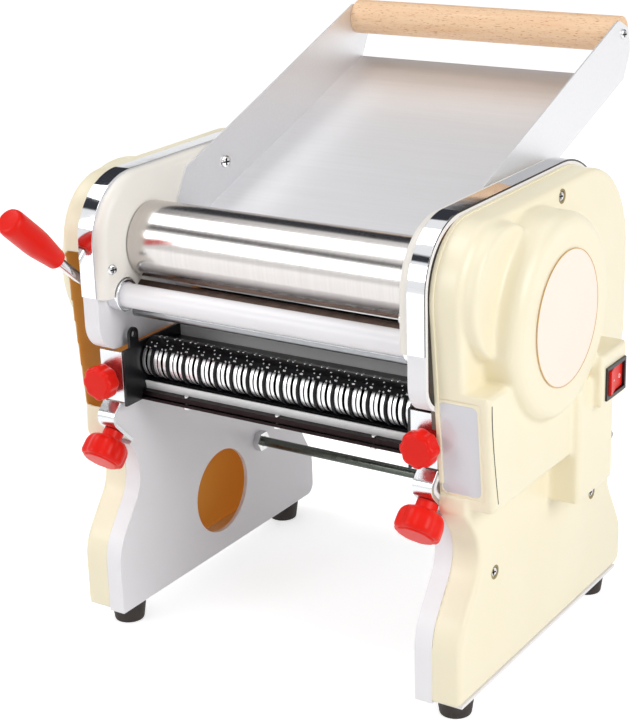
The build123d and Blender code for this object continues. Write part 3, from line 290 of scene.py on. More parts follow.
def soften(mesh, width_mm):
    """Round every edge between faces that meet at more than 32 degrees."""
    edges = [edge for edge in mesh.edges
             if len(edge.link_faces) == 2 and math.degrees(edge.calc_face_angle(0)) > 32]
    bmesh.ops.bevel(mesh, geom=edges, offset=width_mm * MM, segments=2, profile=0.5,
                    affect="EDGES", clamp_overlap=True)


def mesh_data(name, mesh, *materials):
    """Turn a bmesh into mesh data in its finishes."""
    data = bpy.data.meshes.new(name)
    mesh.to_mesh(data)
    mesh.free()
    for finish in materials:
        data.materials.append(finish)
    return data


def linked_object(name, data):
    """New object of some data in the scene."""
    made = bpy.data.objects.new(name, data)
    scene.collection.objects.link(made)
    return made


def evaluated_mesh(holder):
    """Mesh data of an object with its modifiers."""
    bpy.context.view_layer.update()
    return bpy.data.meshes.new_from_object(
        holder.evaluated_get(bpy.context.evaluated_depsgraph_get()))


def settle(name, data, body, replaces=(), smooth_angle=50):
    """Put a finished mesh on a body as a piece, shaded smooth but for its sharper edges."""
    data.shade_smooth()
    data.set_sharp_from_angle(angle=math.radians(smooth_angle))
    made = linked_object(name, data)
    level = made.modifiers.new("level faces", "WEIGHTED_NORMAL")
    level.keep_sharp = True
    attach(made, body)
    if replaces:
        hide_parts(*replaces)


def place_piece(name, mesh, body, slot, *materials, replaces=(), smooth_angle=50):
    """Put a bmesh in its finishes on a body as a piece."""
    settle(name, mesh_data(name, mesh, *materials), body, replaces, smooth_angle)


def dress(name, body, slot, finish, edge_mm):
    """Give a node rounded edges and its finish."""
    mesh = node_copy(name)
    if edge_mm:
        soften(mesh, edge_mm)
    place_piece(f"{name}_piece", mesh, body, slot, finish, replaces=(name,))


# ---------------------------------------------------------------- turned and repeated shapes
def turned(profile, steps=48, lobes=0):
    """Solid of revolution about Z through (radius, height, flute share) points in mm."""
    mesh = bmesh.new()
    rings = []
    for radius, height, *flute in profile:
        ring = []
        for step in range(steps if radius else 1):
            angle = 2 * math.pi * step / steps
            valley = abs(math.sin(lobes * angle / 2)) ** 3 * (flute[0] if flute else 0)
            reach = radius * (1 - valley) * MM
            ring.append(mesh.verts.new((reach * math.cos(angle), reach * math.sin(angle),
                                        height * MM)))
        rings.append(ring)
    for low, high in zip(rings, rings[1:]):
        for step in range(steps):
            after = (step + 1) % steps
            corners = dict.fromkeys((low[step % len(low)], low[after % len(low)],
                                     high[after % len(high)], high[step % len(high)]))
            mesh.faces.new(list(corners))
    bmesh.ops.recalc_face_normals(mesh, faces=mesh.faces)
    return mesh


def turned_ring(section, steps):
    """Closed ring about Z with a (radius, height) section in mm."""
    mesh = turned([*section, section[0]], steps)
    bmesh.ops.remove_doubles(mesh, verts=mesh.verts, dist=1e-6)
    bmesh.ops.recalc_face_normals(mesh, faces=mesh.faces)
    return mesh


def close_rows(mesh, rows):
    """Join rows of corners, one row for each place along a band, into a closed solid."""
    for low, high in zip(rows, rows[1:]):
        for corner in range(len(low)):
            mesh.faces.new((low[corner], low[corner - 1], high[corner - 1], high[corner]))
    mesh.faces.new(rows[0])
    mesh.faces.new(rows[-1])
    bmesh.ops.recalc_face_normals(mesh, faces=mesh.faces)
    return mesh


def aimed(place_mm, direction):
    """Matrix that sets the origin at a place and turns +Z to a direction."""
    return (Matrix.Translation(Vector(place_mm) * MM)
            @ Vector(direction).to_track_quat("Z", "Y").to_matrix().to_4x4())


def block(low_mm, high_mm):
    """Box mesh between two corners."""
    mesh = bmesh.new()
    bmesh.ops.create_cube(mesh, size=1)
    for vert in mesh.verts:
        vert.co = [(low + high) / 2 * MM + share * (high - low) * MM
                   for low, high, share in zip(low_mm, high_mm, vert.co)]
    return mesh


def cut(mesh, cutters, finish, inside):
    """The mesh less its cutters; the cut faces get the inside finish."""
    holders = [linked_object("cut_part", mesh_data("cut_part", part, skin))
               for part, skin in [(mesh, finish)] + [(cutter, inside) for cutter in cutters]]
    for cutter in holders[1:]:
        cutting = holders[0].modifiers.new("cut", "BOOLEAN")
        cutting.object, cutting.operation, cutting.solver = cutter, "DIFFERENCE", "EXACT"
        cutting.material_mode = "TRANSFER"
    data = evaluated_mesh(holders[0])
    for holder in holders:
        bpy.data.objects.remove(holder)
    return data


def cross_screw(head_r, head_h, shank_r, shank):
    """Pan-head screw along +Z, its head above 0 and its shank below, with a cross recess."""
    body = turned([(0, -shank), (shank_r * 0.8, -shank), (shank_r, -shank + 0.6), (shank_r, 0),
                   (head_r * 0.97, 0), (head_r, head_h * 0.15), (head_r, head_h * 0.45),
                   (head_r * 0.93, head_h * 0.7), (head_r * 0.78, head_h * 0.9),
                   (head_r * 0.5, head_h * 0.99), (0, head_h)])
    wide, narrow, deep = head_r * 0.58, head_r * 0.15, head_h * 0.35
    recess = [block((-a, -b, deep), (a, b, head_h + 1))
              for a, b in ((wide, narrow), (narrow, wide))]
    # The cut faces of the cross recess are painted dark, a painted shade.
    return cut(body, recess, bright_screw, recess_shade_and_seam)


def repeater():
    """Geometry Nodes group that sets an item on every point, turned by the point's angles."""
    tree = bpy.data.node_groups.new("repeat_item", "GeometryNodeTree")
    for socket, kind in (("Spots", "Geometry"), ("Item", "Object"), ("Item Size", "Float"),
                         ("Finish", "Material")):
        tree.interface.new_socket(socket, in_out="INPUT", socket_type=f"NodeSocket{kind}")
    tree.interface.new_socket("Items", in_out="OUTPUT", socket_type="NodeSocketGeometry")
    given = add(tree, "NodeGroupInput").outputs
    points = add(tree, "GeometryNodeMeshToPoints", {"Mesh": given["Spots"]})
    item = add(tree, "GeometryNodeObjectInfo", {"Object": given["Item"]})
    angles = add(tree, "GeometryNodeInputNamedAttribute", {"Name": "turn"},
                 data_type="FLOAT_VECTOR")
    turn = add(tree, "FunctionNodeEulerToRotation", {"Euler": angles.outputs["Attribute"]})
    copies = add(tree, "GeometryNodeInstanceOnPoints", {
        "Points": points.outputs["Points"], "Instance": item.outputs["Geometry"],
        "Rotation": turn.outputs["Rotation"], "Scale": given["Item Size"]})
    plain = add(tree, "GeometryNodeRealizeInstances", {"Geometry": copies.outputs["Instances"]})
    # The item's first finish is set here; a recess keeps its own.
    slot_number = add(tree, "GeometryNodeInputMaterialIndex")
    first = add(tree, "FunctionNodeCompare", {"A": slot_number.outputs["Material Index"],
                                              "B": 0}, data_type="INT", operation="EQUAL")
    faced = add(tree, "GeometryNodeSetMaterial", {
        "Geometry": plain.outputs["Geometry"], "Selection": first.outputs["Result"],
        "Material": given["Finish"]})
    add(tree, "NodeGroupOutput", {"Items": faced.outputs["Geometry"]})
    return tree


repeat_item = repeater()


def repeat(name, item, spots, body, finish, replaces=()):
    """Piece made of copies of an item, one for each spot: its place in mm and its angles."""
    points = bpy.data.meshes.new(f"{name}_spots")
    points.from_pydata([Vector(place) * MM for place, turn in spots], [], [])
    angles = points.attributes.new("turn", "FLOAT_VECTOR", "POINT")
    angles.data.foreach_set("vector", [angle for place, turn in spots for angle in turn])
    holder, model = linked_object(f"{name}_spots", points), linked_object(f"{name}_item", item)
    nodes = holder.modifiers.new("repeat", "NODES")
    nodes.node_group = repeat_item
    values = {"Item": model, "Item Size": 1.0, "Finish": finish}
    for socket in repeat_item.interface.items_tree:
        if socket.in_out == "INPUT" and socket.name in values:
            nodes[socket.identifier] = values[socket.name]
    data = evaluated_mesh(holder)
    for made in (holder, model):
        bpy.data.objects.remove(made)
    settle(name, data, body, replaces, smooth_angle=40)


def clusters(name):
    """Boxes (low, high) in mm of a node's separate solids."""
    mesh = node_copy(name, flat=0)
    left = set(mesh.verts)
    boxes = []
    while left:
        front = [left.pop()]
        group = list(front)
        while front:
            linked = {edge.other_vert(vert) for vert in front for edge in vert.link_edges}
            front = list(linked & left)
            left -= linked
            group += front
        boxes.append(tuple([pick(vert.co[axis] for vert in group) / MM for axis in range(3)]
                           for pick in (min, max)))
    mesh.free()
    return boxes


def cross_screws(name, head_r, head_h, shank_r, shank, head_outwards):
    """Replace a node's screws along X with recessed ones of the same size."""
    # Each screw leans off the axis of its hole by this angle in radians, head to the front.
    lean = 0.35
    spots = []
    for low, high in clusters(name):
        side = 1 if low[0] + high[0] > 0 else -1
        facing = side if head_outwards else -side
        head_base = (high[0] if facing > 0 else low[0]) - facing * head_h
        spots.append(((head_base, (low[1] + high[1]) / 2, (low[2] + high[2]) / 2),
                      (lean, facing * math.pi / 2, 0)))
    repeat(f"{name}_piece", cross_screw(head_r, head_h, shank_r, shank), spots, "machine",
           bright_screw, replaces=(name,))


# Nodes that keep their shape: body, slot, finish and the width of their rounded edges in mm.
dressed_nodes = (
    ("left_side_frame", "machine", "white_paint", white_enamel, 0.7),
    ("right_side_frame", "machine", "white_paint", white_enamel, 0.7),
    ("left_inner_cheek", "machine", "white_paint", cheek_abs, 0.4),
    ("right_inner_cheek", "machine", "white_paint", cheek_abs, 0.4),
    ("window_plate", "machine", "grey_plastic", window_acrylic, 0.3),
    ("badge_disc", "machine", "cream_plastic", badge_face, 0.25),
    ("switch_bezel", "machine", "black_plastic", acetal, 0.5),
    ("power_inlet", "machine", "black_plastic", rubber, 0.8),
    ("front_bar", "machine", "white_paint", white_enamel, 0.3),
    ("front_bar_rings", "machine", "chrome_trim", chrome, 0.8),
    ("tie_rod", "machine", "steel", rod_steel, 0.3),
    ("tie_rod_nuts", "machine", "zinc", bright_screw, 0.5),
    ("rubber_feet", "machine", "rubber", rubber, 0.8),
    ("foot_screws", "machine", "zinc", zinc, 0.3),
    ("feed_hopper", "machine", "stainless", hopper_steel, 0.25),
    ("wooden_bar", "machine", "beech", beech, 0.6),
    ("rear_roller_bearings", "machine", "steel", gear_steel, 0.2),
    ("idler_pin", "machine", "steel", gear_steel, 0.2),
    ("gear_motor", "machine", "motor_steel", motor_paint, 0.5),
    ("motor_screws", "machine", "zinc", zinc, 0.3),
    ("roller_scrapers", "machine", "steel", scraper_steel, 0),
    ("clamp_studs", "machine", "steel", zinc, 0.3),
    ("front_bearing_blocks", "front_carriage", "steel", gear_steel, 0.3),
    ("front_press_roller", "front_roller", "stainless", roller_steel, 0.2),
    ("front_roller_gear", "front_roller", "steel", gear_steel, 0.1),
    ("rear_press_roller", "rear_roller", "stainless", roller_steel, 0.2),
    ("rear_roller_gear", "rear_roller", "steel", gear_steel, 0.1),
    ("cutter_drive_gear", "rear_roller", "steel", gear_steel, 0.1),
    ("motor_coupling", "rear_roller", "steel", gear_steel, 0.2),
    ("adjusting_shaft", "thickness_lever", "steel", gear_steel, 0.2),
    ("lever_rod", "thickness_lever", "steel", bright_screw, 0.4),
    ("cassette_side_plates", "cassette", "black_plastic", acetal, 0.3),
    ("cassette_flanges", "cassette", "zinc", zinc, 0.25),
    ("cutter_comb", "cassette", "black_plastic", comb_black, 0.2),
    ("chute_strip", "cassette", "steel", sheet_painted_reflection, 0.1),
    ("rear_guide_plate", "cassette", "stainless", sheet_painted_reflection, 0.2),
    ("cassette_crossbars", "cassette", "steel", crossbar_steel, 0.3),
    ("crossbar_bolts", "cassette", "zinc", bright_screw, 0.2),
    ("upper_knob_studs", "cassette", "steel", zinc, 0.3),
    ("front_cutter_gear", "front_cutter", "steel", gear_steel, 0.1),
    ("rear_cutter_gears", "rear_cutter", "steel", gear_steel, 0.1),
    ("idler_gear", "idler", "steel", gear_steel, 0.1),
    ("left_clamp_strap", "left_clamp", "zinc", zinc, 0.4),
    ("right_clamp_strap", "right_clamp", "zinc", zinc, 0.4),
    ("rocker_switch", "rocker", "red_plastic", red_abs, 0.5),
)
for node_name, node_body, node_slot, node_finish, node_edge in dressed_nodes:
    dress(node_name, node_body, node_slot, node_finish, node_edge)


# Polished trim strips; their outer side faces are painted dark, a painted shade beside the cover.
trim_edge_mm = 0.25
for side, hand in ((-1, "left"), (1, "right")):
    strip = node_copy(f"{hand}_trim_strip")
    soften(strip, trim_edge_mm)
    for edge_face in strip.faces:
        edge_face.material_index = int(edge_face.normal.x * side > 0.8)
    place_piece(f"{hand}_trim_strip_piece", strip, "machine", "chrome_trim", chrome, trim_side_painted_shade,
                replaces=(f"{hand}_trim_strip",))


# ---------------------------------------------------------------- screws
# Head radius, head height and shank radius in mm; each call adds the length of the shank.
small_screw, hopper_bolt = (3.5, 2.0, 1.7), (4.5, 2.5, 1.7)


def screw_pits():
    """Rim of the pit that each cover screw sits in, painted dark as the pit's shade, measured
    from its head's base.
    """
    rim = turned_ring([(3.5, 1.4), (4.8, 1.4), (4.8, 2.6), (4.6, 2.7), (3.8, 2.55), (3.5, 2.3)],
                      steps=28)
    head_h = small_screw[1]
    spots = []
    for low, high in clusters("cover_screws"):
        side = math.copysign(1, low[0])
        outer = high[0] if side > 0 else low[0]
        spots.append(((outer - side * head_h, (low[1] + high[1]) / 2, (low[2] + high[2]) / 2),
                      (0, side * math.pi / 2, 0)))
    repeat("cover_screw_pits", mesh_data("pit", rim, pit_painted_shade), spots, "machine",
           pit_painted_shade)


cross_screws("cover_screws", *small_screw, 24.5, head_outwards=True)
screw_pits()
cross_screws("cheek_screws", *small_screw, 10.5, head_outwards=False)
cross_screws("hopper_bolts", *hopper_bolt, 11.7, head_outwards=False)
cross_screws("bar_end_screws", *small_screw, 20.0, head_outwards=True)


# ---------------------------------------------------------------- knobs and grip
def turn_piece(name, profile, place, direction, body, lobes=0, steps=48):
    """Replace a red moulding with a turned one at the same place."""
    mesh = turned(profile, steps, lobes)
    mesh.transform(aimed(place, direction))
    place_piece(f"{name}_piece", mesh, body, "red_plastic", red_abs, replaces=(name,),
                smooth_angle=38)


# Profiles from the bore out over the fluted rim to the middle of the cap, in mm.
upper_profile = [(0, 9), (3.05, 9), (3.05, 0), (7.0, 0), (7.3, 0.4), (7.3, 1.0),
                 (9.8, 1.05, 0.03), (11.2, 1.5, 0.06), (12.0, 2.6, 0.08), (12.2, 4.2, 0.09),
                 (12.2, 9.0, 0.09), (12.0, 10.2, 0.085), (11.5, 11.1, 0.08), (10.8, 11.6, 0.07),
                 (10.1, 11.7, 0.06), (9.9, 11.75, 0.06), (9.75, 12.2, 0.055), (9.4, 12.45, 0.05),
                 (8.6, 12.5, 0.04), (0, 12.5)]
lower_profile = [(0, 17.5), (3.32, 17.5), (3.32, 0.2), (6.6, 0.2), (7.0, 0.6), (7.0, 6.0),
                 (9.2, 6.3, 0.01), (12.0, 7.0, 0.03), (13.6, 8.4, 0.05), (14.8, 10.4, 0.07),
                 (15.4, 13.0, 0.075), (15.5, 16.0, 0.075), (15.5, 19.4, 0.075),
                 (15.2, 20.9, 0.07), (14.5, 21.9, 0.065), (13.6, 22.3, 0.06), (12.9, 22.35, 0.05),
                 (12.6, 22.4, 0.045), (12.3, 23.0, 0.04), (11.8, 23.4, 0.035), (10.8, 23.5, 0.03),
                 (0, 23.5)]
knob_x = 123
for side, hand in ((-1, "left"), (1, "right")):
    turn_piece(f"{hand}_upper_knob", upper_profile, (side * knob_x, -124.75, 190), (0, -1, 0),
               f"{hand}_upper_knob_body", lobes=8, steps=128)
    turn_piece(f"{hand}_lower_knob", lower_profile, (side * knob_x, -121.5, 151), (0, -1, -1),
               f"{hand}_lower_knob_body", lobes=8, steps=128)

grip_profile = [(0, 119), (3.55, 119), (3.55, 71), (6.4, 71), (6.9, 71.5), (7.1, 73),
                (7.5, 77), (8.2, 83), (8.9, 89), (9.4, 94), (9.6, 99), (9.6, 121.5),
                (9.4, 123.8), (8.8, 125.6), (7.8, 126.6), (6.4, 127), (0, 127)]
grip_turn = math.radians(139)
turn_piece("lever_grip", grip_profile, (-138, -96, 232),
           (0, math.cos(grip_turn), math.sin(grip_turn)), "thickness_lever")


# ---------------------------------------------------------------- cutter rollers
def ring_roller(name, body, centre_mm, ring_r):
    """Cutter roller with bright ring faces; the sides of the rings and the grooves between them
    are painted near black as shade.
    """
    mesh = node_copy(name)
    soften(mesh, 0.2)
    for face in mesh.faces:
        middle = face.calc_center_median() / MM
        off = math.hypot(middle.y - centre_mm[0], middle.z - centre_mm[1])
        face.material_index = int(abs(face.normal.x) > 0.8 or off < ring_r - 0.8)
    place_piece(f"{name}_piece", mesh, body, "steel", ring_steel, groove_painted_shade,
                replaces=(name,))


front_cutter_at, rear_cutter_at = (-91.3, 198.5), (-71.3, 189.0)
ring_roller("front_cutter_roller", "front_cutter", front_cutter_at, 13.0)
ring_roller("rear_cutter_roller", "rear_cutter", rear_cutter_at, 12.6)

guard_r, guard_sheet, guard_half = 14.4, 0.45, 108


def comb_guard():
    """Guard of the comb, bent over the top of the front cutter."""
    mesh = bmesh.new()
    section = ((-guard_half, guard_r), (guard_half, guard_r),
               (guard_half, guard_r + guard_sheet), (-guard_half, guard_r + guard_sheet))
    rows = []
    for turn in (math.radians(36 + 6 * step) for step in range(18)):
        rows.append([mesh.verts.new((x * MM, (front_cutter_at[0] + reach * math.cos(turn)) * MM,
                                     (front_cutter_at[1] + reach * math.sin(turn)) * MM))
                     for x, reach in section])
    place_piece("comb_guard", close_rows(mesh, rows), "cassette", "black_plastic", comb_black)


def guard_spot(x_mm, angle, flat_from=40):
    """Place and turn on the guard at an angle around the front cutter, or on its flat rear."""
    if angle < flat_from:
        share = (flat_from - angle) / flat_from
        return Vector((x_mm, -80.6 + 21.4 * share, 207.75 - 4.3 * share)), (-0.2, 0, 0)
    turn = math.radians(angle)
    reach = guard_r + guard_sheet
    return (Vector((x_mm, front_cutter_at[0] + reach * math.cos(turn),
                    front_cutter_at[1] + reach * math.sin(turn))), (turn - math.pi / 2, 0, 0))


def comb_dots():
    """Small raised bright dots in rows on the guard, painted glints of the rear cutter's rings
    seen through the comb, in one pattern behind each group of rings.
    """
    group_count, group_pitch, first_group, end = 17, 13.1, -104, 106
    rows = ((134, (-1.8, 1.2)), (128, (4.2, 5.2)), (118, (0.2, 4.6)), (104, (-2.2,)),
            (88, (1.2, 5.4)), (66, (-1.6, 3.0)), (26, (0.6, 4.8)), (12, (-2.0, 2.4)))
    spots = [guard_spot(first_group + group * group_pitch + offset, angle)
             for group in range(group_count) for angle, offsets in rows for offset in offsets
             if abs(first_group + group * group_pitch + offset) < end]
    dot = turned([(0, -0.3), (0.75, -0.3), (0.75, 0.1), (0.6, 0.32), (0.3, 0.36), (0, 0.2)],
                 steps=10)
    repeat("comb_dots", mesh_data("dot", dot, bright_screw), spots, "cassette",
           bright_screw)


comb_guard()
comb_dots()


# ---------------------------------------------------------------- outer covers
def fill_hollows(mesh, rounds):
    """Round a mesh's inside corners into fillets and leave its outside edges crisp."""
    count = len(mesh.vertices)
    place = np.empty(count * 3)
    mesh.vertices.foreach_get("co", place)
    place = place.reshape(-1, 3)
    ends = np.empty(len(mesh.edges) * 2, dtype=int)
    mesh.edges.foreach_get("vertices", ends)
    ends = ends.reshape(-1, 2)
    near, far = np.concatenate((ends[:, 0], ends[:, 1])), np.concatenate((ends[:, 1], ends[:, 0]))
    links = np.bincount(near, minlength=count)[:, None]
    normal = np.empty(count * 3)
    mesh.vertices.foreach_get("normal", normal)
    normal = normal.reshape(-1, 3)
    for turn in range(rounds):
        pull = np.stack([np.bincount(near, place[far, axis], count) for axis in range(3)], 1)
        pull = pull / links - place
        hollow = np.sum(pull * normal, 1, keepdims=True) > 0
        # The first two rounds also take the steps of the skin off the outside edges.
        place += np.where(hollow, 0.7, 0.2 if turn < 2 else 0.0) * pull
    return place


def mould_cover(name, voxel_mm, rounds, middle_mm, window_rear_mm):
    """Cover as a moulding: filleted inside corners, a flat rim and an inside painted amber as
    shade, with a painted glow.
    """
    holder = linked_object(f"{name}_shell", mesh_data(f"{name}_shell", node_copy(name, flat=0)))
    skin = holder.modifiers.new("skin", "REMESH")
    skin.mode, skin.voxel_size = "VOXEL", voxel_mm * MM
    data = evaluated_mesh(holder)
    bpy.data.objects.remove(holder)
    place = fill_hollows(data, rounds)
    # The rim lies on the frame again, where the skin had shrunk from it.
    frame_x, rim_x = 130, 130.05
    rim = np.abs(place[:, 0]) < (frame_x + 0.9 * voxel_mm) * MM
    place[rim, 0] = np.sign(place[rim, 0]) * rim_x * MM
    data.vertices.foreach_set("co", place.ravel())
    mesh = bmesh.new()
    mesh.from_mesh(data)
    mesh.normal_update()
    tree = BVHTree.FromBMesh(mesh)
    # Inside are the faces past the rim that look back at the frame, and the walls' faces that
    # look over the cover's middle at another wall; they get the painted shade and glow, and the
    # window's pocket stays cream. In metres.
    past_rim, wall_end, clear, across = 0.1308, 0.149, 0.0005, 0.28
    pocket_low, pocket_high = 0.15, 0.235
    side = 1 if middle_mm[0] > 0 else -1
    for face in mesh.faces:
        centre = face.calc_center_median()
        inward = face.normal.x * side < -0.35 and abs(centre.x) > past_rim
        if not inward and abs(face.normal.x) < 0.7:
            start = centre + face.normal * clear
            inward = (tree.ray_cast(start, face.normal, across)[0] is not None
                      and (centre - Vector(middle_mm) * MM).dot(face.normal) < 0
                      and abs(centre.x) < wall_end)
        in_pocket = centre.y < window_rear_mm * MM and pocket_low < centre.z < pocket_high
        face.material_index = int(inward and not in_pocket)
    place_piece(f"{name}_piece", mesh, "machine", "cream_plastic", cream_abs, inside_painted_shade_glow,
                replaces=(name,), smooth_angle=80)
    return tree


mould_cover("left_outer_cover", 1.5, 4, (-140, -8, 170), -200)
right_skin = mould_cover("right_outer_cover", 1.2, 5, (140, -8, 170), -108)


def arc(centre, radius, start, end, steps):
    """Points (y, z) on an arc between two angles in degrees."""
    angles = [math.radians(start + (end - start) * step / steps) for step in range(steps + 1)]
    return [(centre[0] + radius * math.cos(turn), centre[1] + radius * math.sin(turn))
            for turn in angles]


def edge_band(path, side, section):
    """Band along a cover's edge: (y, z) points, and its (x, outwards) section in mm."""
    mesh = bmesh.new()
    rows = []
    for number, (y, z) in enumerate(path):
        before, after = path[max(number - 1, 0)], path[min(number + 1, len(path) - 1)]
        run = math.hypot(after[0] - before[0], after[1] - before[1])
        out_y, out_z = -(after[1] - before[1]) / run, (after[0] - before[0]) / run
        rows.append([mesh.verts.new((side * x * MM, (y + out * out_y) * MM,
                                     (z + out * out_z) * MM)) for x, out in section])
    return close_rows(mesh, rows)


# Thin lip of each cover beside the trim strip, over the front, the top and the back, and a dark
# band put in the gap under it as painted shade.
lip_path = ([(-119.3, 165), (-129.9, 277)] + arc((-86.5, 282.5), 43.5, 180, 90, 16)
            + arc((46, 259.5), 66.5, 90, 0, 20) + [(112.5, 216)])
# The left cover's lip leaves out the straight front and starts with the head's curve.
lip_open = [(-130, 282.5)] + lip_path[3:]
lip_section = ((130.1, -1.2), (130.1, 0.7), (130.5, 0.9), (132.3, 0.9), (132.7, 0.6),
               (132.7, -1.2))
gap_shade_section = ((126.5, -6), (126.5, -0.6), (130.1, -0.6), (130.1, -6))
for side, hand, path in ((-1, "left", lip_open), (1, "right", lip_path)):
    place_piece(f"{hand}_cover_lip", edge_band(path, side, lip_section), "machine",
                "cream_plastic", cream_abs)
gap_shade_points = 12
place_piece("right_cover_seal", edge_band(lip_path[:gap_shade_points], 1, gap_shade_section), "machine",
            "black_plastic", gap_shade_band)


def laid_on(skin, mesh):
    """Move a flat mesh along X onto a skin, each vertex onto what is seen from the right."""
    for vert in mesh.verts:
        hit = skin.ray_cast(Vector((0.3, vert.co.y, vert.co.z)), Vector((-1, 0, 0)))[0]
        vert.co.x += hit.x if hit else vert.co.x
    return mesh


# Parting seam down the motor box.
seam_path = [(-121.8 + 8.6 * share ** 1.5, 222 - 66 * share)
             for share in (step / 14 for step in range(15))]
seam_section = ((-0.25, -0.22), (0.25, -0.22), (0.25, 0.22), (-0.25, 0.22))
place_piece("motor_box_seam", laid_on(right_skin, edge_band(seam_path, 1, seam_section)),
            "machine", "black_plastic", recess_shade_and_seam)


def rounded_loop(half_width, half_height, radius, steps=6):
    """Points around a rectangle with rounded corners."""
    return [(across * (half_width - radius) + radius * math.cos(turn),
             up * (half_height - radius) + radius * math.sin(turn))
            for quarter, (across, up) in enumerate(((1, 1), (-1, 1), (-1, -1), (1, -1)))
            for turn in (math.pi / 2 * (quarter + step / steps) for step in range(steps + 1))]


def window_frame():
    """Cream border with rounded inner corners on the window plate."""
    plate = node_copy("window_plate")
    front = max(plate.faces, key=lambda face: face.calc_area() * (face.normal.y < -0.5))
    out, centre = front.normal.copy(), front.calc_center_bounds()
    up = out.cross(Vector((1, 0, 0))).normalized()
    if up.z < 0:
        up.negate()
    half_w = max(abs(vert.co.x - centre.x) for vert in front.verts) / MM
    half_h = max(abs((vert.co - centre).dot(up)) for vert in front.verts) / MM
    plate.free()
    mesh = bmesh.new()
    rows = []
    # Margin past the plate, corner radius and lift in mm: outer foot, outer top, inner top,
    # inner foot.
    for margin, radius, lift in ((0.6, 0.5, -0.3), (0.6, 0.5, 0.25), (-1.1, 4.0, 0.45),
                                 (-1.4, 3.8, -0.3)):
        loop = rounded_loop(half_w + margin, half_h + margin, radius)
        rows.append([mesh.verts.new(centre + (Vector((across, 0, 0)) + up * rise + out * lift)
                                    * MM) for across, rise in loop])
    count = len(rows[0])
    for low, high in zip(rows, rows[1:] + rows[:1]):
        for step in range(count):
            after = (step + 1) % count
            mesh.faces.new((low[step], low[after], high[after], high[step]))
    bmesh.ops.recalc_face_normals(mesh, faces=mesh.faces)
    place_piece("window_border", mesh, "machine", "cream_plastic", cream_abs, smooth_angle=30)


def badge_edge():
    """Thin gilt line around the badge."""
    low, high = (Vector(corner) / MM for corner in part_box("badge_disc"))
    radius = (high.y - low.y) / 2
    inner, outer = radius - 0.1, radius + 0.4
    line = turned_ring([(inner, -0.3), (outer, -0.3), (outer, 0.15), (inner, 0.2)], steps=96)
    line.transform(aimed((high.x, (low.y + high.y) / 2, (low.z + high.z) / 2), (1, 0, 0)))
    place_piece("badge_line", line, "machine", "chrome_trim", gilt_edge)


window_frame()
badge_edge()


# ---------------------------------------------------------------- rocker marks
def rocker_marks():
    """Off and on marks printed on the rocker, at their (y, z) places in mm."""
    rocker = node_copy("rocker_switch")
    skin = BVHTree.FromBMesh(rocker)
    rocker.free()
    dash = block((-0.15, -1.2, -0.3), (0.15, 1.2, 0.3))
    ring = turned_ring([(1.0, -0.15), (1.5, -0.15), (1.5, 0.15), (1.0, 0.15)], steps=20)
    ring.transform(aimed((0, 0, 0), (1, 0, 0)))
    for name, mark, y, z in (("rocker_dash", dash, 22.6, 194.2),
                             ("rocker_ring", ring, 34.2, 193.6)):
        mark.transform(Matrix.Translation(Vector((0, y, z)) * MM))
        place_piece(name, laid_on(skin, mark), "rocker", "cream_plastic", white_print)


rocker_marks()


# ---------------------------------------------------------------- studio
def between(tree, value, low, high, soft=0.015):
    """Output that is 1 while a value lies between two bounds, with soft ends."""
    rise = add(tree, "ShaderNodeMapRange", {"Value": value, "From Min": low - soft,
                                            "From Max": low + soft})
    fall = add(tree, "ShaderNodeMapRange", {"Value": value, "From Min": high - soft,
                                            "From Max": high + soft, "To Min": 1, "To Max": 0})
    return add(tree, "ShaderNodeMath", {0: rise.outputs["Result"], 1: fall.outputs["Result"]},
               operation="MULTIPLY").outputs[0]


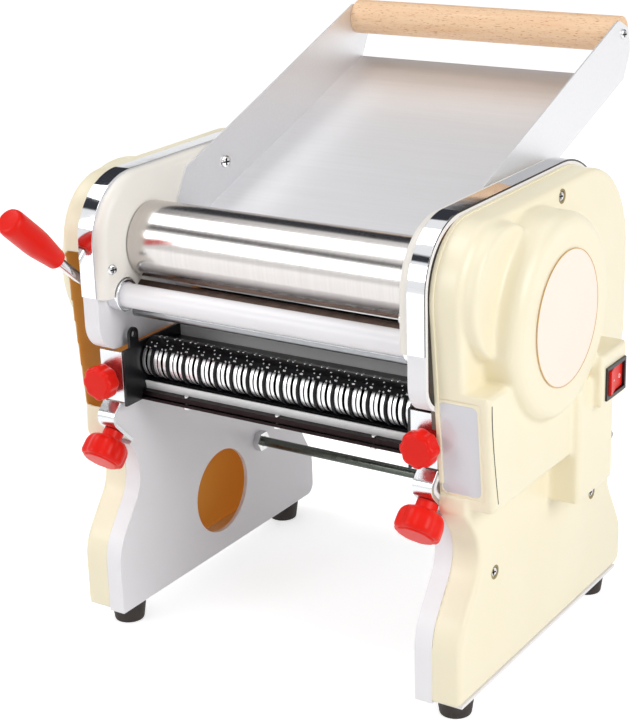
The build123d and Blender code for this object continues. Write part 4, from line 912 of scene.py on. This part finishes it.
def studio_world():
    """Even light on the object; seen directly, in metal or through glass it is white."""
    world = bpy.data.worlds.new("studio")
    scene.world = world
    world.use_nodes = True
    tree = world.node_tree
    ambient = tree.nodes["Background"]
    ambient.inputs["Color"].default_value = linear("#FFFFFF")
    ambient.inputs["Strength"].default_value = 0.5
    # The studio is white all round, with dark gaps between its light tents that polished
    # metal picks up: one in front, one on the left, one behind the object.
    place = add(tree, "ShaderNodeTexCoord").outputs["Generated"]
    towards = add(tree, "ShaderNodeSeparateXYZ", {"Vector": place}).outputs
    front_gap = between(tree, towards["Z"], 0.57, 0.69)
    left_gap = add(tree, "ShaderNodeMath", {0: between(tree, towards["X"], -2, -0.585),
                                            1: between(tree, towards["Z"], 0.6, 0.95)},
                   operation="MULTIPLY").outputs[0]
    rear_gap = add(tree, "ShaderNodeMath", {0: between(tree, towards["Y"], 0.47, 2),
                                            1: between(tree, towards["Z"], 0.24, 0.75)},
                   operation="MULTIPLY").outputs[0]
    sides = add(tree, "ShaderNodeMath", {0: left_gap, 1: rear_gap}, operation="MAXIMUM")
    gaps = add(tree, "ShaderNodeMath", {0: front_gap, 1: sides.outputs[0]},
               operation="MAXIMUM")
    ray = add(tree, "ShaderNodeLightPath").outputs
    shown = add(tree, "ShaderNodeMath", {0: gaps.outputs[0], 1: ray["Is Camera Ray"]},
                operation="SUBTRACT", use_clamp=True)
    walls = add(tree, "ShaderNodeMix", {0: shown.outputs[0], 6: linear("#FFFFFF"),
                                        7: linear("#3A3C42")}, data_type="RGBA")
    seen = add(tree, "ShaderNodeBackground", {"Color": walls.outputs[2]})
    sight = add(tree, "ShaderNodeMath", {0: ray["Is Camera Ray"], 1: ray["Is Glossy Ray"]},
                operation="ADD")
    clear = add(tree, "ShaderNodeMath", {0: sight.outputs[0], 1: ray["Is Transmission Ray"]},
                operation="ADD", use_clamp=True)
    both = add(tree, "ShaderNodeMixShader", {0: clear.outputs[0],
                                             1: ambient.outputs["Background"],
                                             2: seen.outputs["Background"]})
    tree.links.new(both.outputs["Shader"], tree.nodes["World Output"].inputs["Surface"])


def studio_floor():
    """Pale floor that keeps the object's shadow."""
    made, tree, shader, _ = material("studio_floor", Roughness=0.9,
                                     Base_Color=linear("#F2F2F2"),
                                     Emission_Color=linear("#FFFFFF"))
    ray = add(tree, "ShaderNodeLightPath").outputs
    sight = add(tree, "ShaderNodeMath", {0: ray["Is Camera Ray"], 1: ray["Is Glossy Ray"]},
                operation="ADD", use_clamp=True)
    lift = add(tree, "ShaderNodeMath", {0: sight.outputs[0], 1: 0.55}, operation="MULTIPLY")
    tree.links.new(lift.outputs[0], shader.inputs["Emission Strength"])
    mesh = bmesh.new()
    bmesh.ops.create_grid(mesh, x_segments=1, y_segments=1, size=8)
    floor = linked_object("studio_floor", mesh_data("studio_floor", mesh, made))


def softbox(name, place, target, size, watts):
    """Square area lamp aimed at a point."""
    data = bpy.data.lights.new(name, "AREA")
    data.size, data.energy = size, watts
    away = (Vector(place) - Vector(target)).to_track_quat("Z", "Y")
    linked_object(name, data).matrix_world = (Matrix.Translation(place)
                                              @ away.to_matrix().to_4x4())


aim_camera()
studio_world()
studio_floor()
middle = (0, 0, 0.2)
softbox("front_softbox", (-1.0, -1.6, 0.95), middle, 0.7, 8)
softbox("top_softbox", (-1.0, -0.3, 1.9), middle, 0.9, 10)
softbox("right_softbox", (1.7, -0.4, 1.18), middle, 1.0, 17)

scene.view_settings.view_transform = "Standard"
bpy.context.view_layer.update()
